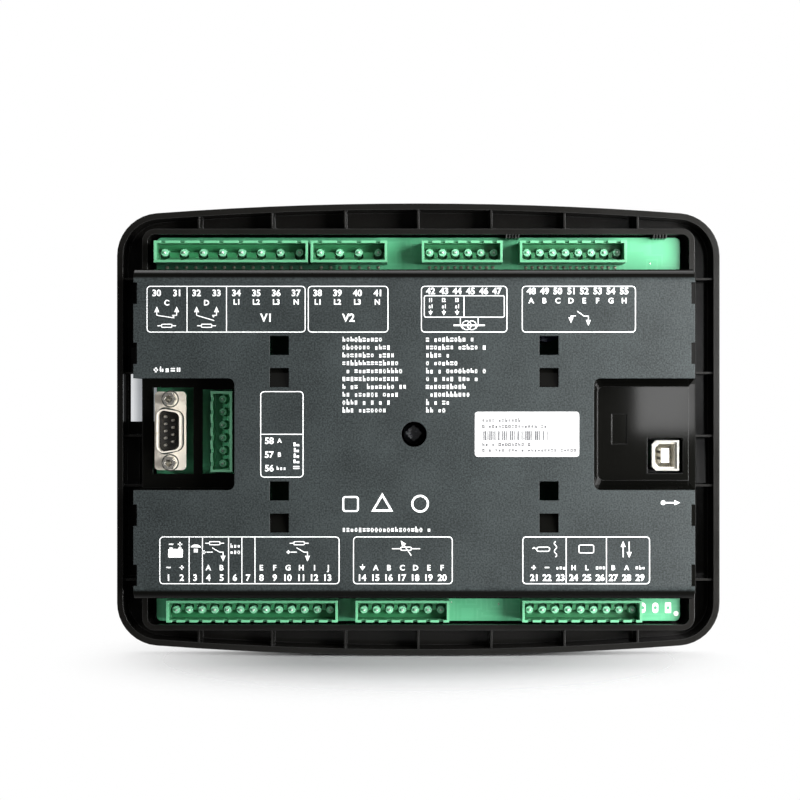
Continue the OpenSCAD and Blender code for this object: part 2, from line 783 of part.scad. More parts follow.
module data_port_shell() {
  color(tin) upright() translate([data_x, data_y]) difference() {
    slab(data_outline(0), main_z, data_top);
    slab(data_outline(data_wall), main_z - eps, data_top + eps);
  }
}

module data_port_tongue() {
  color(white) upright() translate([data_x, data_y]) difference() {
    union() {
      difference() {
        slab(data_outline(data_wall + fit), main_z, data_top - lining_recess);
        slab(data_outline(data_wall + fit + lining_t), main_z + tongue_base, data_top);
      }
      slab(rect(tongue_w, tongue_h), main_z, data_top - tongue_recess);
    }
    for (y = [-1, 1], x = [-1, 1]) translate([x * tongue_w / 2, y * contact_pitch / 2])
      slab(rect(2 * contact_t + 2 * fit, contact_w + 2 * fit), main_z + tongue_base,
        data_top - tongue_recess - contact_recess + fit);
  }
}

module data_port_contacts() {
  color([0.85, 0.7, 0.35]) upright() translate([data_x, data_y]) for (y = [-1, 1], x = [-1, 1])
    translate([x * (tongue_w / 2 - contact_t / 2), y * contact_pitch / 2])
      slab(rect(contact_t, contact_w), main_z + tongue_base, data_top - tongue_recess - contact_recess);
}

module insert_card() {
  color(white) upright() block(-tray_w / 2 - card_tab, card_lamp_x - lamp_r - key_lip, card_y - card_h / 2,
    card_y + card_h / 2, plate_back, plate_back + card_t);
}

// Rear cover: raised shell with rounded shoulders, two side bays, latch recesses and the screw well
flange_h = cover_wall;
bay_r = 2.4;
bay_corner_steps = 4;
link_play = 0.7;
serial_play = 0.8;
link_gap_side = 3.4;
serial_gap_side = 2.75;
bay_step = 1.1;
ramp_lip = 1;
mark_w = 5.9;
mark_h = 11.7;
mark_d = 0.4;
mark_x = 78.5;
mark_y = 0.35;
bay_lo = cover_y - bay_h / 2;
bay_hi = cover_y + bay_h / 2;
bay_left = cover_x - bay_in;
bay_right = cover_x + bay_in;
cover_left = cover_x - cover_w / 2;
LATCH_COLUMNS = [cover_x - latch_x, cover_x + latch_x];
OPEN_LATCHES = [cover_y + latch_outer_y, cover_y - latch_inner_y];
RAMP_LATCHES = [cover_y + latch_inner_y, cover_y - latch_outer_y];

module cover_profile(inset) {
  r = shoulder_r - inset;
  half = cover_h / 2 - inset;
  top = cover_z - inset;
  difference() {
    union() {
      translate([r - half, 0]) square([2 * (half - r), top]);
      translate([-half, 0]) square([2 * half, top - r]);
      for (s = [-1, 1]) translate([s * (half - r), top - r]) circle(r = r);
    }
    translate([-cover_h, -cover_z]) square([2 * cover_h, cover_z + tray_rise]);
  }
}

module cover_bar(inset) {
  w = cover_w - 2 * inset;
  translate([cover_x - w / 2, cover_y, 0]) rotate([90, 0, 90]) linear_extrude(w) cover_profile(inset);
}

function bay_outline(x0, x1, inset) = rounded([[x1, bay_hi - inset], [x0, bay_hi - inset],
  [x0, bay_lo + inset], [x1, bay_lo + inset]], bay_r, bay_corner_steps);

// Space with sides that lean in by the draft towards its floor
module right_bay(grow) {
  hull() {
    slab(bay_outline(bay_right + bay_draft - grow, tray_w, bay_draft - grow),
      right_floor - grow, cover_z + eps);
    slab(bay_outline(bay_right - grow, tray_w, -grow), cover_z, cover_z + eps);
  }
}

module bay_shells() {
  grow = cover_wall;
  intersection() {
    cover_bar(0);
    union() {
      block(-tray_w, bay_left + grow, bay_lo - grow, bay_hi + grow, left_floor - grow, cover_z);
      right_bay(grow);
    }
  }
}

module rear_cover() {
  color(charcoal) upright() difference() {
    union() {
      difference() {
        union() {
          cover_bar(0);
          block(-tray_w / 2, tray_w / 2, cover_y - cover_h / 2, cover_y + cover_h / 2,
            tray_rise, tray_rise + flange_h);
        }
        difference() {
          cover_bar(cover_wall);
          for (x = LATCH_COLUMNS, y = RAMP_LATCHES)
            translate([x, y]) slab(rect(latch_w + 2 * cover_wall, latch_w + 2 * cover_wall),
              cover_z - cover_wall - latch_ramp_d, cover_z);
        }
        block(cover_left + cover_wall, cover_x + cover_w / 2 - cover_wall,
          cover_y - cover_h / 2 + cover_wall, cover_y + cover_h / 2 - cover_wall,
          tray_rise - eps, tray_rise + shoulder_r);
      }
      bay_shells();
      post([boss_x, boss_y], well_r + cover_wall, well_floor - cover_wall, cover_z - cover_wall / 2);
    }
    slab(bay_outline(-tray_w, bay_left, 0), left_floor, cover_z + eps);
    block(-tray_w, cover_left + bay_step, bay_lo, bay_hi, tray_rise - eps, left_floor + eps);
    right_bay(0);
    slab_between(serial_x - flange_w / 2 - serial_play, serial_x + flange_w / 2 + serial_gap_side,
      serial_y, flange_l / 2 + 2 * serial_play, left_floor);
    slab_between(LINK[3] - header_w / 2 - link_gap_side, LINK[3] + header_w / 2 + link_play,
      LINK[4], header_len(LINK) / 2 + link_play, left_floor);
    translate([data_x, data_y]) slab(rect(data_cut, data_cut), right_floor - 2 * cover_wall, right_floor + eps);
    translate([mark_x, mark_y]) slab(rect(mark_w, mark_h), right_floor - mark_d, right_floor + eps);
    for (x = LATCH_COLUMNS, y = OPEN_LATCHES)
      translate([x, y]) slab(rect(latch_w, latch_w), cover_z - 2 * cover_wall, cover_z + eps);
    for (x = LATCH_COLUMNS, y = RAMP_LATCHES) translate([x, y, cover_z]) latch_ramp();
    for (sx = [-1, 1], sy = [-1, 1], y = [notch_outer_y, notch_inner_y])
      translate([cover_x + sx * (cover_w / 2), cover_y + sy * y])
        slab(rect(2 * notch_d, notch_h), cover_z - 3 * cover_wall, cover_z + eps);
    post([boss_x, boss_y], well_r, well_floor, cover_z + eps);
    post([boss_x, boss_y], screw_r + slip, well_floor - 2 * cover_wall, well_floor + eps);
  }
}

module slab_between(x0, x1, y, half, level) {
  block(x0, x1, y - half, y + half, level - 2 * cover_wall, level + eps);
}

module latch_ramp() {
  rotate([90, 0, 90]) linear_extrude(latch_w, center = true)
    polygon([[-latch_w / 2, eps], [-latch_w / 2, -ramp_lip], [latch_w / 2, -latch_ramp_d], [latch_w / 2, eps]]);
}

cross_len = 1.4 * screw_head_r;
cross_w = screw_head_r / 4;
dome_share = 0.6;
module cover_screw() {
  color(tin) upright() translate([boss_x, boss_y]) difference() {
    union() {
      post([0, 0], screw_head_r, well_floor, well_floor + screw_head_h * (1 - dome_share));
      translate([0, 0, well_floor + screw_head_h * (1 - dome_share)])
        cylinder(r1 = screw_head_r, r2 = screw_head_r * dome_share, h = screw_head_h * dome_share);
      post([0, 0], screw_r, well_floor - screw_len, well_floor + eps);
    }
    for (a = [0, 90]) rotate([0, 0, a])
      slab(rect(cross_len, cross_w), well_floor + screw_head_h / 2, well_floor + screw_head_h + eps);
  }
}

label_t = 0.12;
label_r = 1.2;
module rating_label() {
  color(white) upright() translate([cover_x + label_x, cover_y])
    slab(rounded(rect(label_w, label_h), label_r), cover_z, cover_z + label_t);
}

front_bezel();
front_overlay();
display_lens();
lcd_panel();
lcd_holder();
key_mat();
key(STOP, key_r, [0.75, 0.08, 0.08]);  // stop_key
key(MANUAL, key_r, [0.4, 0.41, 0.43]);  // manual_key
key(TEST, key_r, [0.4, 0.41, 0.43]);  // test_key
key(AUTO, key_r, [0.4, 0.41, 0.43]);  // auto_key
key(MUTE, key_r, [0.4, 0.41, 0.43]);  // mute_key
key(START, key_r, [0.1, 0.5, 0.2]);  // start_key
key(OPEN, key_r, [0.4, 0.41, 0.43]);  // open_key
key(CLOSE, key_r, [0.4, 0.41, 0.43]);  // close_key
key(UP, cursor_r, [0.4, 0.41, 0.43]);  // up_key
key(DOWN, cursor_r, [0.4, 0.41, 0.43]);  // down_key
key(LEFT, cursor_r, [0.4, 0.41, 0.43]);  // left_key
key(RIGHT, cursor_r, [0.4, 0.41, 0.43]);  // right_key
key(ENTER, cursor_r, [0.4, 0.41, 0.43]);  // enter_key
status_lamps();
front_board();
board_link();
main_board();
board_screws();
power_relays();
current_transformers();
processor_chip();
supply_capacitors();
header(SUPPLY);  // supply_header
header(SENDER);  // sender_header
header(BUS);  // bus_header
header(GENERATOR);  // generator_header
header(MAINS);  // mains_header
header(CURRENT);  // current_header
header(INPUT);  // input_header
header(LINK);  // link_header
pins(SUPPLY);  // supply_pins
pins(SENDER);  // sender_pins
pins(BUS);  // bus_pins
pins(GENERATOR);  // generator_pins
pins(MAINS);  // mains_pins
pins(CURRENT);  // current_pins
pins(INPUT);  // input_pins
pins(LINK);  // link_pins
serial_port_shell();
serial_port_insert();
serial_port_pins();
serial_port_jacks();
data_port_shell();
data_port_tongue();
data_port_contacts();
insert_card();
rear_cover();
cover_screw();
rating_label();
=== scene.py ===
"""Looks of a panel-mount generator-set controller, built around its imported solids."""

import logging
import math
from dataclasses import dataclass, field
from enum import Enum
from typing import Callable, Iterable, Sequence

import bmesh
import bpy
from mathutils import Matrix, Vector


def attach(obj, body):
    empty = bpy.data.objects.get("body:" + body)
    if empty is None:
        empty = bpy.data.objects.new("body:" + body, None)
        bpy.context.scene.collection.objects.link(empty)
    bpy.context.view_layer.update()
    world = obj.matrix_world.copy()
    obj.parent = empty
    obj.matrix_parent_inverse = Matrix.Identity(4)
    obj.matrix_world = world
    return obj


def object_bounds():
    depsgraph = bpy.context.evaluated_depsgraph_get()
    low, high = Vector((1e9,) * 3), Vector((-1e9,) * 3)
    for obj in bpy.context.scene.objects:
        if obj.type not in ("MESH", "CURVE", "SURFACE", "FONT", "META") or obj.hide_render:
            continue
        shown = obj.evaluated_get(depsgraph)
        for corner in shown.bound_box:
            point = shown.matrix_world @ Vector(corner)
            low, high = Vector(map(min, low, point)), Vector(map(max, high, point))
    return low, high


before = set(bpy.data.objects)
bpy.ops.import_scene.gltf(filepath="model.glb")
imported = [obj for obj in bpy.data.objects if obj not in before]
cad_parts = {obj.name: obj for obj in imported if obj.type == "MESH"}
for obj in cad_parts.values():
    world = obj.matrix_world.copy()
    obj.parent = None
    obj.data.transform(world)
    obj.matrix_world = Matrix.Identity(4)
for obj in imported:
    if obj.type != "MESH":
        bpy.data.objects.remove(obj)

LOG = logging.getLogger("controller")
CAD_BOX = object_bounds()
MM = 0.001
HOUSING = "housing"

Point = tuple[float, float]
Triple = tuple[float, float, float]
Colour = tuple[float, float, float]
Window = tuple[float, float, float, float]
Surface = Callable[[float, float], float]


class Side(Enum):
    """The face of the controller that a print lies on, with its outward sign along Y."""

    REAR = -1
    FRONT = 1

    def spot(self, u: float, v: float, level: float) -> Vector:
        """Gives a row-frame point.

        Args:
            u: Millimetres to the right, as seen by someone who faces this side.
            v: Millimetres up.
            level: Row Y in millimetres.

        Returns:
            The point in metres.
        """
        return Vector((-self.value * u, level, v)) * MM


# Node trees


class Graph:
    """A node tree that is written as Python expressions."""

    def __init__(self, tree: bpy.types.NodeTree) -> None:
        """Keeps the tree that the nodes go into."""
        self.tree = tree

    def feed(self, target: bpy.types.NodeSocket, value: object) -> None:
        """Links or sets one input.

        Args:
            target: The input socket.
            value: A Wire to link, or a plain value to set.
        """
        if isinstance(value, Wire):
            self.tree.links.new(value.socket, target)
        else:
            target.default_value = value

    def node(self, kind: str, sockets: dict | None = None, **settings: object) -> bpy.types.Node:
        """Adds any node.

        Args:
            kind: The node's type name.
            sockets: Input names or indices with the values or wires that feed them.
            settings: Attributes of the node, which are set first.

        Returns:
            The new node.
        """
        made = self.tree.nodes.new(kind)
        for key, value in settings.items():
            setattr(made, key, value)
        for key, value in (sockets or {}).items():
            self.feed(made.inputs[key], value)
        return made

    def wire(self, made: bpy.types.Node, output: int | str = 0) -> "Wire":
        """Wraps a node's output."""
        return Wire(self, made.outputs[output])

    def out(
        self, kind: str, sockets: dict | None = None, output: int | str = 0, **settings: object
    ) -> "Wire":
        """Adds any node and wraps one of its outputs."""
        return self.wire(self.node(kind, sockets, **settings), output)


@dataclass(frozen=True)
class Wire:
    """An output socket whose arithmetic adds Math nodes."""

    graph: Graph
    socket: bpy.types.NodeSocket

    def math(self, operation: str, *others: object) -> "Wire":
        """Adds one Math node, with this wire as its first operand."""
        operands = dict(enumerate((self, *others)))
        return self.graph.out("ShaderNodeMath", operands, operation=operation)

    def reflected(self, operation: str, first: float) -> "Wire":
        """Adds one Math node whose first operand is a number."""
        return self.graph.out("ShaderNodeMath", {0: first, 1: self}, operation=operation)

    def __add__(self, other: object) -> "Wire":
        """Sum."""
        return self.math("ADD", other)

    def __radd__(self, other: float) -> "Wire":
        """Sum with a number on the left."""
        return self.reflected("ADD", other)

    def __sub__(self, other: object) -> "Wire":
        """Difference."""
        return self.math("SUBTRACT", other)

    def __rsub__(self, other: float) -> "Wire":
        """Difference from a number."""
        return self.reflected("SUBTRACT", other)

    def __mul__(self, other: object) -> "Wire":
        """Product."""
        return self.math("MULTIPLY", other)

    def __rmul__(self, other: float) -> "Wire":
        """Product with a number on the left."""
        return self.reflected("MULTIPLY", other)

    def __truediv__(self, other: object) -> "Wire":
        """Quotient."""
        return self.math("DIVIDE", other)

    def __pow__(self, other: object) -> "Wire":
        """Power."""
        return self.math("POWER", other)

    def below(self, limit: object) -> "Wire":
        """One where the value is less than the limit."""
        return self.math("LESS_THAN", limit)

    def above(self, limit: object) -> "Wire":
        """One where the value is greater than the limit."""
        return self.math("GREATER_THAN", limit)

    def fraction(self) -> "Wire":
        """The part after the point."""
        return self.math("FRACT")

    def size(self) -> "Wire":
        """The value without its sign."""
        return self.math("ABSOLUTE")

    def sway(self, amount: float) -> "Wire":
        """Noise around 0.5, turned into noise around 0 and scaled."""
        return (self - 0.5) * amount

    def rise(self, low: float, high: float) -> "Wire":
        """Goes smoothly from 0 at low to 1 at high."""
        sockets = {"Value": self, "From Min": low, "From Max": high}
        return self.graph.out("ShaderNodeMapRange", sockets, interpolation_type="SMOOTHSTEP")


class Paint(Graph):
    """A material's tree around one Principled shader, in Object coordinates."""

    edge_samples = 6
    edge_rise = (0.02, 0.22)
    bump_samples = 4

    def __init__(self, name: str) -> None:
        """Makes the material and its shader.

        Args:
            name: The material's name.
        """
        self.material = bpy.data.materials.new(name)
        self.material.use_nodes = True
        super().__init__(self.material.node_tree)
        self.shader = self.tree.nodes["Principled BSDF"]
        self.place = self.out("ShaderNodeTexCoord", output="Object")

    def set(self, **sockets: object) -> None:
        """Feeds the shader's sockets, with underscores for the spaces in their names."""
        for key, value in sockets.items():
            self.feed(self.shader.inputs[key.replace("_", " ")], value)

    def axes(self) -> tuple[Wire, Wire, Wire]:
        """Splits the Object coordinates."""
        made = self.node("ShaderNodeSeparateXYZ", {"Vector": self.place})
        return tuple(self.wire(made, i) for i in range(3))

    def stretched(self, scale: Triple) -> Wire:
        """Object coordinates, scaled along each axis."""
        return self.out("ShaderNodeMapping", {"Vector": self.place, "Scale": scale}, vector_type="POINT")

    def noise(self, grain_mm: float, detail: float = 2.0, where: Wire | None = None) -> Wire:
        """Noise around 0.5, from the size of its largest features, its octaves and its coordinates."""
        sockets = {"Vector": where or self.place, "Scale": 1.0 / (grain_mm * MM), "Detail": detail}
        return self.out("ShaderNodeTexNoise", sockets, "Fac")

    def cells(self, size_mm: float, metric: str = "EUCLIDEAN") -> Wire:
        """Distances from the middles of scattered cells."""
        sockets = {"Vector": self.place, "Scale": 1.0 / (size_mm * MM)}
        return self.out("ShaderNodeTexVoronoi", sockets, "Distance", distance=metric)

    def mix(self, factor: object, first: object, second: object) -> Wire:
        """Mixes two colours or wires, by the share of the second."""
        full = [(*c, 1.0) if isinstance(c, tuple) else c for c in (first, second)]
        return self.out("ShaderNodeMix", {0: factor, 6: full[0], 7: full[1]}, 2, data_type="RGBA")

    def inside(self, window: Window) -> Wire:
        """Marks a window of X and Z.

        Args:
            window: Left, right, low and high, in millimetres.

        Returns:
            One inside the window, and zero elsewhere.
        """
        x, _, z = self.axes()
        left, right, low, high = (v * MM for v in window)
        return x.above(left) * x.below(right) * z.above(low) * z.below(high)

    def blend(self, factor: Wire, other: Wire) -> None:
        """Mixes another shader over the Principled one."""
        mixed = self.out("ShaderNodeMixShader", {0: factor, 1: self.wire(self.shader), 2: other})
        self.feed(self.tree.nodes["Material Output"].inputs["Surface"], mixed)

    def matt_coat(self, factor: Wire, tone: Colour) -> None:
        """Lays a matt coat of one tone over the Principled shader."""
        self.blend(factor, self.out("ShaderNodeBsdfDiffuse", {"Color": (*tone, 1.0)}))

    def edges(self, reach_mm: float) -> Wire:
        """Marks the solid's edges.

        Args:
            reach_mm: How far from an edge the mark fades to nothing.

        Returns:
            One along the edges.
        """
        soft = self.out("ShaderNodeBevel", {"Radius": reach_mm * MM}, samples=self.edge_samples)
        true = self.out("ShaderNodeNewGeometry", output="Normal")
        same = self.out("ShaderNodeVectorMath", {0: soft, 1: true}, "Value", operation="DOT_PRODUCT")
        return (1.0 - same).rise(*self.edge_rise)

    def bump(self, height: Wire, depth_mm: float, strength: float = 1.0, edge_mm: float = 0.0) -> Wire:
        """Turns a height into a normal.

        Args:
            height: Values from 0 to 1.
            depth_mm: What a height of 1 stands for.
            strength: Share of the effect.
            edge_mm: Radius of the softened edges, or 0 for sharp ones.

        Returns:
            The normal.
        """
        sockets = {"Height": height, "Distance": depth_mm * MM, "Strength": strength}
        if edge_mm > 0:
            radius = {"Radius": edge_mm * MM}
            sockets["Normal"] = self.out("ShaderNodeBevel", radius, samples=self.bump_samples)
        return self.out("ShaderNodeBump", sockets, "Normal")


# Finishes


def scaled(tone: Colour, share: float) -> Colour:
    """A tone made darker or lighter, up to full brightness."""
    return tuple(min(1.0, share * c) for c in tone)


@dataclass(frozen=True)
class Finish:
    """A surface finish. Each kind says how it is painted."""

    name: str

    def material(self) -> bpy.types.Material:
        """Gives the finish's material, which is made once.

        Returns:
            The material.
        """
        title = self.name + "_finish"
        found = bpy.data.materials.get(title)
        if found is None:
            paint = Paint(title)
            self.apply(paint)
            found = paint.material
        return found

    def apply(self, paint: Paint) -> None:
        """Paints the finish."""
        raise NotImplementedError


# Pale grey that edges are lightened towards: a painted highlight.
EDGE_HIGHLIGHT: Colour = (0.07, 0.07, 0.07)


@dataclass(frozen=True)
class Moulding(Finish):
    """Moulded plastic with a spark-eroded grain, soft edges and uneven gloss."""

    tone: Colour
    rough: float = 0.45
    grain_mm: float = 0.35
    depth_mm: float = 0.01
    mottle: float = 0.16
    specular: float = 0.5
    edge_mm: float = 0.25
    edge_reach: float = 0.35
    # Share of painted highlight along the edges.
    edge_lift: float = 0.0
    cloud_mm: float = 14.0
    shades: Point = (0.55, 1.25)
    shade_rise: Point = (0.7, 1.25)
    fine_ratio: float = 3.1
    fine_share: float = 0.3
    drift: Point = (0.5, 0.3)

    def apply(self, paint: Paint) -> None:
        """Paints grain, mottle, handling marks and painted highlights along the edges.

        Args:
            paint: The material's tree.
        """
        cloud = paint.noise(self.cloud_mm, 3.0)
        grain = paint.noise(self.grain_mm)
        fine = paint.noise(self.grain_mm * self.fine_ratio, 1.0)
        shade = cloud * self.mottle + grain * self.mottle + (1.0 - self.mottle)
        dark, light = (scaled(self.tone, share) for share in self.shades)
        body = paint.mix(shade.rise(*self.shade_rise), dark, light)
        # Painted highlights: the edges are lightened towards a pale grey.
        if self.edge_lift > 0:
            body = paint.mix(paint.edges(self.edge_reach) * self.edge_lift, body, EDGE_HIGHLIGHT)
        slow, quick = self.drift
        relief = grain * (1.0 - self.fine_share) + fine * self.fine_share
        paint.set(
            Base_Color=body,
            Roughness=self.rough * (1.0 + cloud.sway(slow) + fine.sway(quick)),
            Specular_IOR_Level=self.specular,
            Normal=paint.bump(relief, self.depth_mm, 1.0, self.edge_mm),
        )


@dataclass(frozen=True)
class RimMoulding(Moulding):
    """Moulding that is polished behind the panel, and matt round its rim and by the card's tab."""

    half_w: float = 120.0
    half_h: float = 90.0
    corner: float = 17.0
    crown: float = 3.8
    skin: Point = (0.6, 2.3)
    lip: Point = (0.5, 1.5)
    tab_wall: Window = (-118.6, -115.5, -4.0, 30.0)
    tab_floor: float = 12.0
    matt_share: float = 0.92

    def matt_zone(self, paint: Paint) -> Wire:
        """Marks the outer side of the rim, from its bowed and rounded outline, and the wall by the tab.

        Args:
            paint: The material's tree.

        Returns:
            One in the zone.
        """
        x, y, z = paint.axes()
        flat_w, flat_h = self.half_w - self.corner, self.half_h - self.corner
        across = x.size() / MM - flat_w
        bowed = z.size() / MM + x * x * (self.crown / (flat_w * MM) ** 2) - flat_h
        past = [run.math("MAXIMUM", 0.0) for run in (across, bowed)]
        reach = (past[0] * past[0] + past[1] * past[1]) ** 0.5
        near, deep = self.skin
        low, high = self.lip
        side = reach.rise(self.corner - deep, self.corner - near)
        wall = paint.inside(self.tab_wall) * y.below(self.tab_floor * MM)
        return side.math("MAXIMUM", wall) * y.rise(low * MM, high * MM)

    def apply(self, paint: Paint) -> None:
        """Paints the moulding, and a matt coat over the zone."""
        super().apply(paint)
        paint.matt_coat(self.matt_zone(paint) * self.matt_share, self.tone)


@dataclass(frozen=True)
class SteppedMoulding(Moulding):
    """Moulding whose outermost face is spark-textured and whose lower parts are polished, darkened by painted
    shade and lightened along their edges by painted highlights.
    """

    cloud_mm: float = 16.0
    shades: Point = (0.5, 1.5)
    shade_rise: Point = (0.32, 0.68)
    grain_share: float = 0.8
    face_sway: float = 0.1
    level_mm: float = -25.82
    lead_mm: float = 0.03
    fade_mm: float = 0.5
    # Tone below the level: painted shade.
    low_tone: Colour = (0.003, 0.003, 0.0026)
    low_rough: float = 0.06
    low_drift: Point = (0.6, 0.8)
    # Share of painted highlight along the lower parts' edges.
    low_lift: float = 0.3
    low_smooth: float = 0.97
    pocket: Window = (67.0, 109.0, -21.0, 18.0)
    matt_share: float = 0.7

    def apply(self, paint: Paint) -> None:
        """Paints the face's tone and, below the level, a darker tone of painted shade, with a fine grain on
        the outer one.

        Args:
            paint: The material's tree.
        """
        _, y, _ = paint.axes()
        low = y.rise((self.level_mm - self.lead_mm) * MM, (self.level_mm + self.fade_mm) * MM)
        cloud = paint.noise(self.cloud_mm, 3.0)
        grain = paint.noise(self.grain_mm, 3.0)
        dark, light = (scaled(self.tone, share) for share in self.shades)
        speckle = grain * self.grain_share + cloud * (1.0 - self.grain_share)
        face = paint.mix(speckle.rise(*self.shade_rise), dark, light)
        rough = self.rough + cloud.sway(self.face_sway)
        least, swing = self.low_drift
        gloss = self.low_rough * (least + cloud * swing)
        # Below the level: the painted-shade tone, with painted highlights along the edges.
        lower = paint.mix(paint.edges(self.edge_reach) * self.low_lift, self.low_tone, EDGE_HIGHLIGHT)
        relief = grain * (1.0 - low * self.low_smooth)
        paint.set(
            Base_Color=paint.mix(low, face, lower),
            Roughness=rough + low * (gloss - rough),
            Specular_IOR_Level=self.specular,
            Normal=paint.bump(relief, self.depth_mm, 1.0, self.edge_mm),
        )
        # A matt coat in the painted-shade tone over the lower parts, outside the pocket.
        paint.matt_coat(low * (1.0 - paint.inside(self.pocket)) * self.matt_share, self.low_tone)


@dataclass(frozen=True)
class SocketMoulding(Moulding):
    """Moulding of an open socket, with painted highlights along its edges and a painted tone towards its
    floor: painted shade in the headers and painted light in the data port's tongue.
    """

    cloud_mm: float = 9.0
    cloud_base: float = 0.35
    drift: Point = (0.12, 0.08)
    # Painted highlight along the edges.
    edge_tone: Colour = (0.2, 0.48, 0.3)
    edge_share: float = 0.9
    edge_fade: float = 0.6
    # Painted tone towards the floor: darker for shade in the headers, paler for light in the tongue.
    deep_tone: Colour = (0.022, 0.16, 0.06)
    rim_mm: float = -9.7
    floor_mm: float = -4.0

    def apply(self, paint: Paint) -> None:
        """Paints the painted tone of the depth, the painted highlights along the edges and a slight mottle.

        Args:
            paint: The material's tree.
        """
        _, y, _ = paint.axes()
        cloud = paint.noise(self.cloud_mm, 3.0)
        grain = paint.noise(self.grain_mm)
        depth = y.rise(self.rim_mm * MM, self.floor_mm * MM)
        # The tone moves towards the painted depth tone, deeper in the socket.
        wall = paint.mix(depth, self.tone, self.deep_tone)
        shaded = paint.mix((cloud - self.cloud_base) * self.mottle, wall, self.deep_tone)
        # Painted highlights along the edges, fading with depth.
        pale = paint.edges(self.edge_reach) * (1.0 - depth * self.edge_fade)
        slow, quick = self.drift
        paint.set(
            Base_Color=paint.mix(pale * self.edge_share, shaded, self.edge_tone),
            Roughness=self.rough + cloud.sway(slow) + grain.sway(quick),
            Specular_IOR_Level=self.specular,
            Normal=paint.bump(grain, self.depth_mm, 1.0, self.edge_mm),
        )


@dataclass(frozen=True)
class Plating(Finish):
    """Bright plated metal with drawn lines and small stains."""

    tone: Colour
    rough: float = 0.24
    draw_axis: int = 2
    metallic: float = 0.85
    draw_ratio: float = 0.04
    line_mm: float = 0.12
    line_depth: float = 0.004
    line_strength: float = 0.6
    line_sway: float = 0.2
    edge_mm: float = 0.12
    stain_mm: float = 2.2
    stain_rise: Point = (0.52, 0.78)
    stain_share: float = 0.7
    stain_rough: float = 0.14
    worn: Colour = (0.72, 0.68, 0.6)

    def apply(self, paint: Paint) -> None:
        """Paints draw lines along one axis and clouded spots.

        Args:
            paint: The material's tree.
        """
        scale = tuple(self.draw_ratio if i == self.draw_axis else 1.0 for i in range(3))
        lines = paint.noise(self.line_mm, 2.0, paint.stretched(scale))
        stain = paint.noise(self.stain_mm, 4.0).rise(*self.stain_rise)
        dull = tuple(c * f for c, f in zip(self.tone, self.worn))
        paint.set(
            Base_Color=paint.mix(stain * self.stain_share, self.tone, dull),
            Metallic=self.metallic,
            Roughness=self.rough + lines.sway(self.line_sway) + stain * self.stain_rough,
            Normal=paint.bump(lines, self.line_depth, self.line_strength, self.edge_mm),
        )


@dataclass(frozen=True)
class Laminate(Finish):
    """Circuit board: solder mask over copper runs, with plated vias, a painted shadow under the upper left
    headers and painted shade where it shows through the data port's gap.
    """

    mask: Colour
    copper: Colour
    rough: float = 0.36
    cloud_mm: float = 8.0
    run_mm: float = 9.0
    run_bands: float = 5.0
    run_width: float = 0.36
    run_share: float = 0.4
    run_depth: float = 0.03
    via_mm: float = 6.0
    via_size: float = 0.05
    via_tone: Colour = (0.55, 0.6, 0.5)
    # A mottled dark strip under the upper left headers: painted shadow.
    residue: Window = (-105.0, -33.0, 55.0, 67.4)
    residue_tone: Colour = (0.012, 0.05, 0.03)
    # Black where the board shows through the data port's gap: painted shade.
    blacked: Window = (86.0, 110.0, -30.0, 6.0)
    black: Colour = (0.004, 0.004, 0.004)

    def apply(self, paint: Paint) -> None:
        """Paints square-cornered runs, vias, the mask's unevenness, the painted shadow and the painted shade.

        Args:
            paint: The material's tree.
        """
        reach = paint.cells(self.run_mm, "CHEBYCHEV") * self.run_bands
        run = reach.fraction().below(self.run_width)
        via = paint.cells(self.via_mm).below(self.via_size)
        cloud = paint.noise(self.cloud_mm, 3.0)
        ground = paint.mix(run * self.run_share, self.mask, self.copper)
        # Painted shadow along the strip under the upper left headers.
        shadowed = paint.mix(paint.inside(self.residue) * (0.6 + cloud * 0.5), ground, self.residue_tone)
        shaded = paint.mix((cloud - 0.4) * 0.4, shadowed, scaled(self.mask, 0.6))
        # Painted shade where the board shows through the data port's gap.
        shaded = paint.mix(paint.inside(self.blacked), shaded, self.black)
        paint.set(
            Base_Color=paint.mix(via, shaded, self.via_tone),
            Metallic=via * 0.8,
            Roughness=self.rough + cloud.sway(0.2) - via * 0.1,
            Normal=paint.bump(run + via * 0.5, self.run_depth, 0.5),
        )


@dataclass(frozen=True)
class Ink(Finish):
    """Screen-printed ink with a slightly broken cover."""

    tone: Colour
    rough: float = 0.55
    cloud_mm: float = 1.5
    thin_mm: float = 0.25
    thin_rise: Point = (0.62, 0.8)
    thin_share: float = 0.35

    def apply(self, paint: Paint) -> None:
        """Paints pinholes and thin places.

        Args:
            paint: The material's tree.
        """
        thin = paint.noise(self.thin_mm, 3.0).rise(*self.thin_rise)
        paint.set(
            Base_Color=paint.mix(thin * self.thin_share, self.tone, scaled(self.tone, 0.5)),
            Roughness=self.rough + paint.noise(self.cloud_mm).sway(0.1),
        )


@dataclass(frozen=True)
class Sheet(Finish):
    """Label stock or card, with fibres and a faint lean in tone."""

    tone: Colour
    rough: float = 0.5
    fibre_mm: float = 0.5
    fibre_scale: Triple = (1.0, 1.0, 0.3)
    fibre_depth: float = 0.006
    fibre_sway: float = 0.15

    def fibres(self, paint: Paint) -> Wire:
        """Noise that is drawn out upwards."""
        return paint.noise(self.fibre_mm, 4.0, paint.stretched(self.fibre_scale))

    def paper(self, paint: Paint, fibre: Wire) -> Wire:
        """The stock's colour, a little darker along the fibres."""
        return paint.mix((fibre - 0.35) * 0.5, self.tone, scaled(self.tone, 0.86))

    def apply(self, paint: Paint) -> None:
        """Paints fibres.

        Args:
            paint: The material's tree.
        """
        fibre = self.fibres(paint)
        paint.set(
            Base_Color=self.paper(paint, fibre),
            Roughness=self.rough + fibre.sway(self.fibre_sway),
            Normal=paint.bump(fibre, self.fibre_depth, 0.5),
        )


